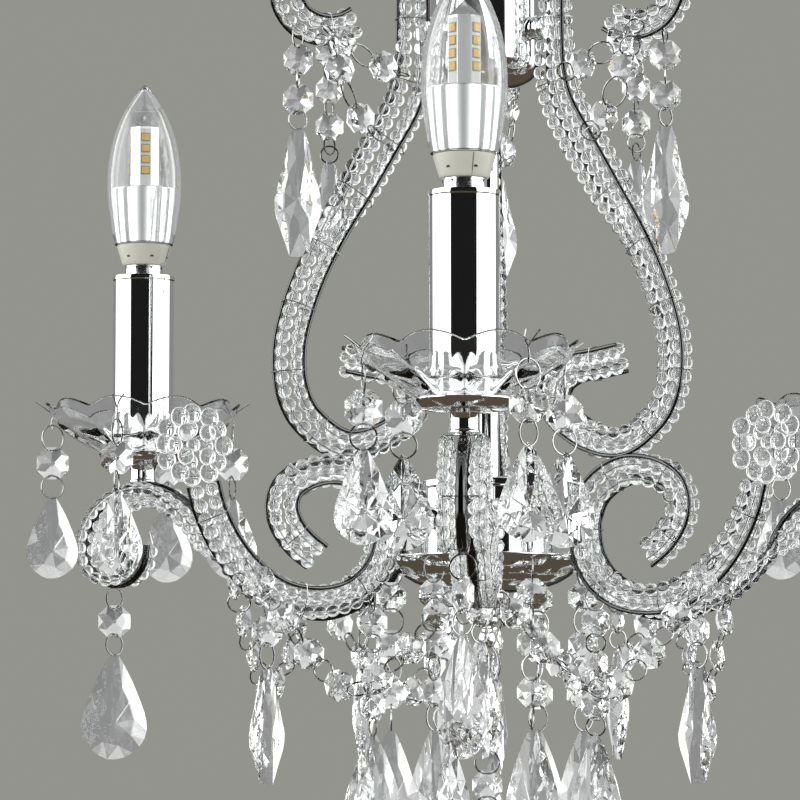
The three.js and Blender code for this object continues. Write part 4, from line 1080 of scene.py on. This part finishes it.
def build_light_column(i, turn, centre, first_face):
    """A faceted column with four boards of four light chips."""
    column = Stock()
    tilt, tilt_side = outward(turn + first_face + 22.5)
    column.add(turned(COLUMN, 8), 0, smooth=False, at=centre, x=tilt_side, y=-tilt)
    for k in range(4):
        out, side = outward(turn + first_face + k * 90)
        face = centre + out * 6.93
        add_plate(column, face, side, out, 5.0, 285.4, 313.6, 0.12, 1)
        for chip in range(4):
            middle = 292.7 + 5.53 * chip
            add_plate(column, face, side, out, 4.6, middle - 2.1, middle + 2.1, 0.3, 2)
            add_plate(column, face, side, out, 3.7, middle - 1.6, middle + 1.6, 0.75, 3)
    column.make(f"light_column_{i}", f"lamp_{i}", [aluminium, board_white, board_grey, phosphor],
                "led_module", [f"bulb_led_{i}"])


def build_envelope(i, centre):
    glass = smooth_line(ENVELOPE, 1.6)
    inner = [(max(r - 1.05, 0.4), h - (1.4 if h > 325 else 0)) for r, h in glass]
    shell = [(0, 336.6), (0.9, 336.2), *glass[::-1], (13.5, 256.0), *inner[1:], (0, 333.2)]
    envelope = Stock().add(turned(shell, 96), at=centre)
    envelope.make(f"lamp_envelope_{i}", f"lamp_{i}", [envelope_glass], "lamp_glass", [f"bulb_globe_{i}"])


def build_candles():
    for i, turn in enumerate(CANDLE_TURNS, 1):
        centre = spot(turn, CANDLE_REACH, 0)
        pan = Stock().add(turned(eased(PAN, 0.5), 96), at=centre)
        pan.make(f"pan_turned_{i}", "frame", [chrome], "chrome", [f"drip_pan_{i}"])
        sleeve = Stock().add(turned(eased(SLEEVE, 0.25, 2, True), 112, True), at=centre)
        sleeve.make(f"sleeve_tube_{i}", "frame", [chrome], "chrome", [f"candle_sleeve_{i}"])
        holder = Stock().add(turned(eased(HOLDER, 0.4), 48), at=centre)
        holder.make(f"holder_body_{i}", "frame", [holder_plastic], "holder_plastic", [f"lamp_holder_{i}"])
        cup = Stock().add(cup_form(turn + (21 if i == 3 else 3)), at=centre)
        cup.make(f"cup_petals_{i}", "frame", [cup_glass], "pressed_glass", [f"glass_cup_{i}"])
        pendants = Stock()
        add_cup_pendants(pendants, centre, turn)
        pendants.make(f"cup_pendants_{i}", "frame", [crystal, wire_metal], "cut_drop", [f"glass_cup_{i}"])
        build_lamp_base(i, turn, centre)
        build_light_column(i, turn, centre, FIRST_FACES[i - 1])
        build_envelope(i, centre)


CLAMP_SCREW = [(0, -0.3), (1.7, -0.3), (1.7, 0.15), (1.3, 0.3), (0, 0.3)]


def build_terminal():
    """The terminal block inside the lower hub, with its clamp screws."""
    block = Stock()
    low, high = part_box("terminal_block")
    low, high = np.array(low) * 1000 + (0, 0, EYE), np.array(high) * 1000 + (0, 0, EYE)
    size, middle = high - low, (high + low) / 2
    half = size[2] / 2
    # A square turned on its corners has sides of 1 when its radius is 0.7071.
    profile = [(0, -half), (0.6, -half), (0.7071, 1 - half), (0.7071, half - 1), (0.6, half), (0, half)]
    corners, faces = turned(eased(profile, 0.02, 1), 4)
    turn = math.radians(45)
    x = corners[:, 0] * math.cos(turn) - corners[:, 1] * math.sin(turn)
    y = corners[:, 0] * math.sin(turn) + corners[:, 1] * math.cos(turn)
    corners = np.stack([x * size[0], y * size[1], corners[:, 2]], axis=1)
    block.add((corners, faces), 0, smooth=False, at=middle)
    way = np.array((1.0, 0, 0)) if size[0] > size[1] else np.array((0, 1.0, 0))
    for k in (-1, 0, 1):
        block.add(turned(CLAMP_SCREW, 20), 1, at=middle + way * k * max(size[:2]) * 0.3 + UP * half)
    block.make("terminal_moulding", "frame", [terminal_plastic, wire_metal], "terminal_plastic",
               ["terminal_block"])


set_camera()
set_surroundings()
set_lamps()
lay_floor()
build_hubs()
build_stem()
build_arms()
build_rosettes()
build_strands()
build_swags()
build_candles()
build_terminal()

bpy.context.view_layer.update()
scene.view_settings.view_transform = "Standard"
scene.cycles.max_bounces = 20
scene.cycles.transmission_bounces = 18
scene.cycles.glossy_bounces = 8
scene.cycles.transparent_max_bounces = 12
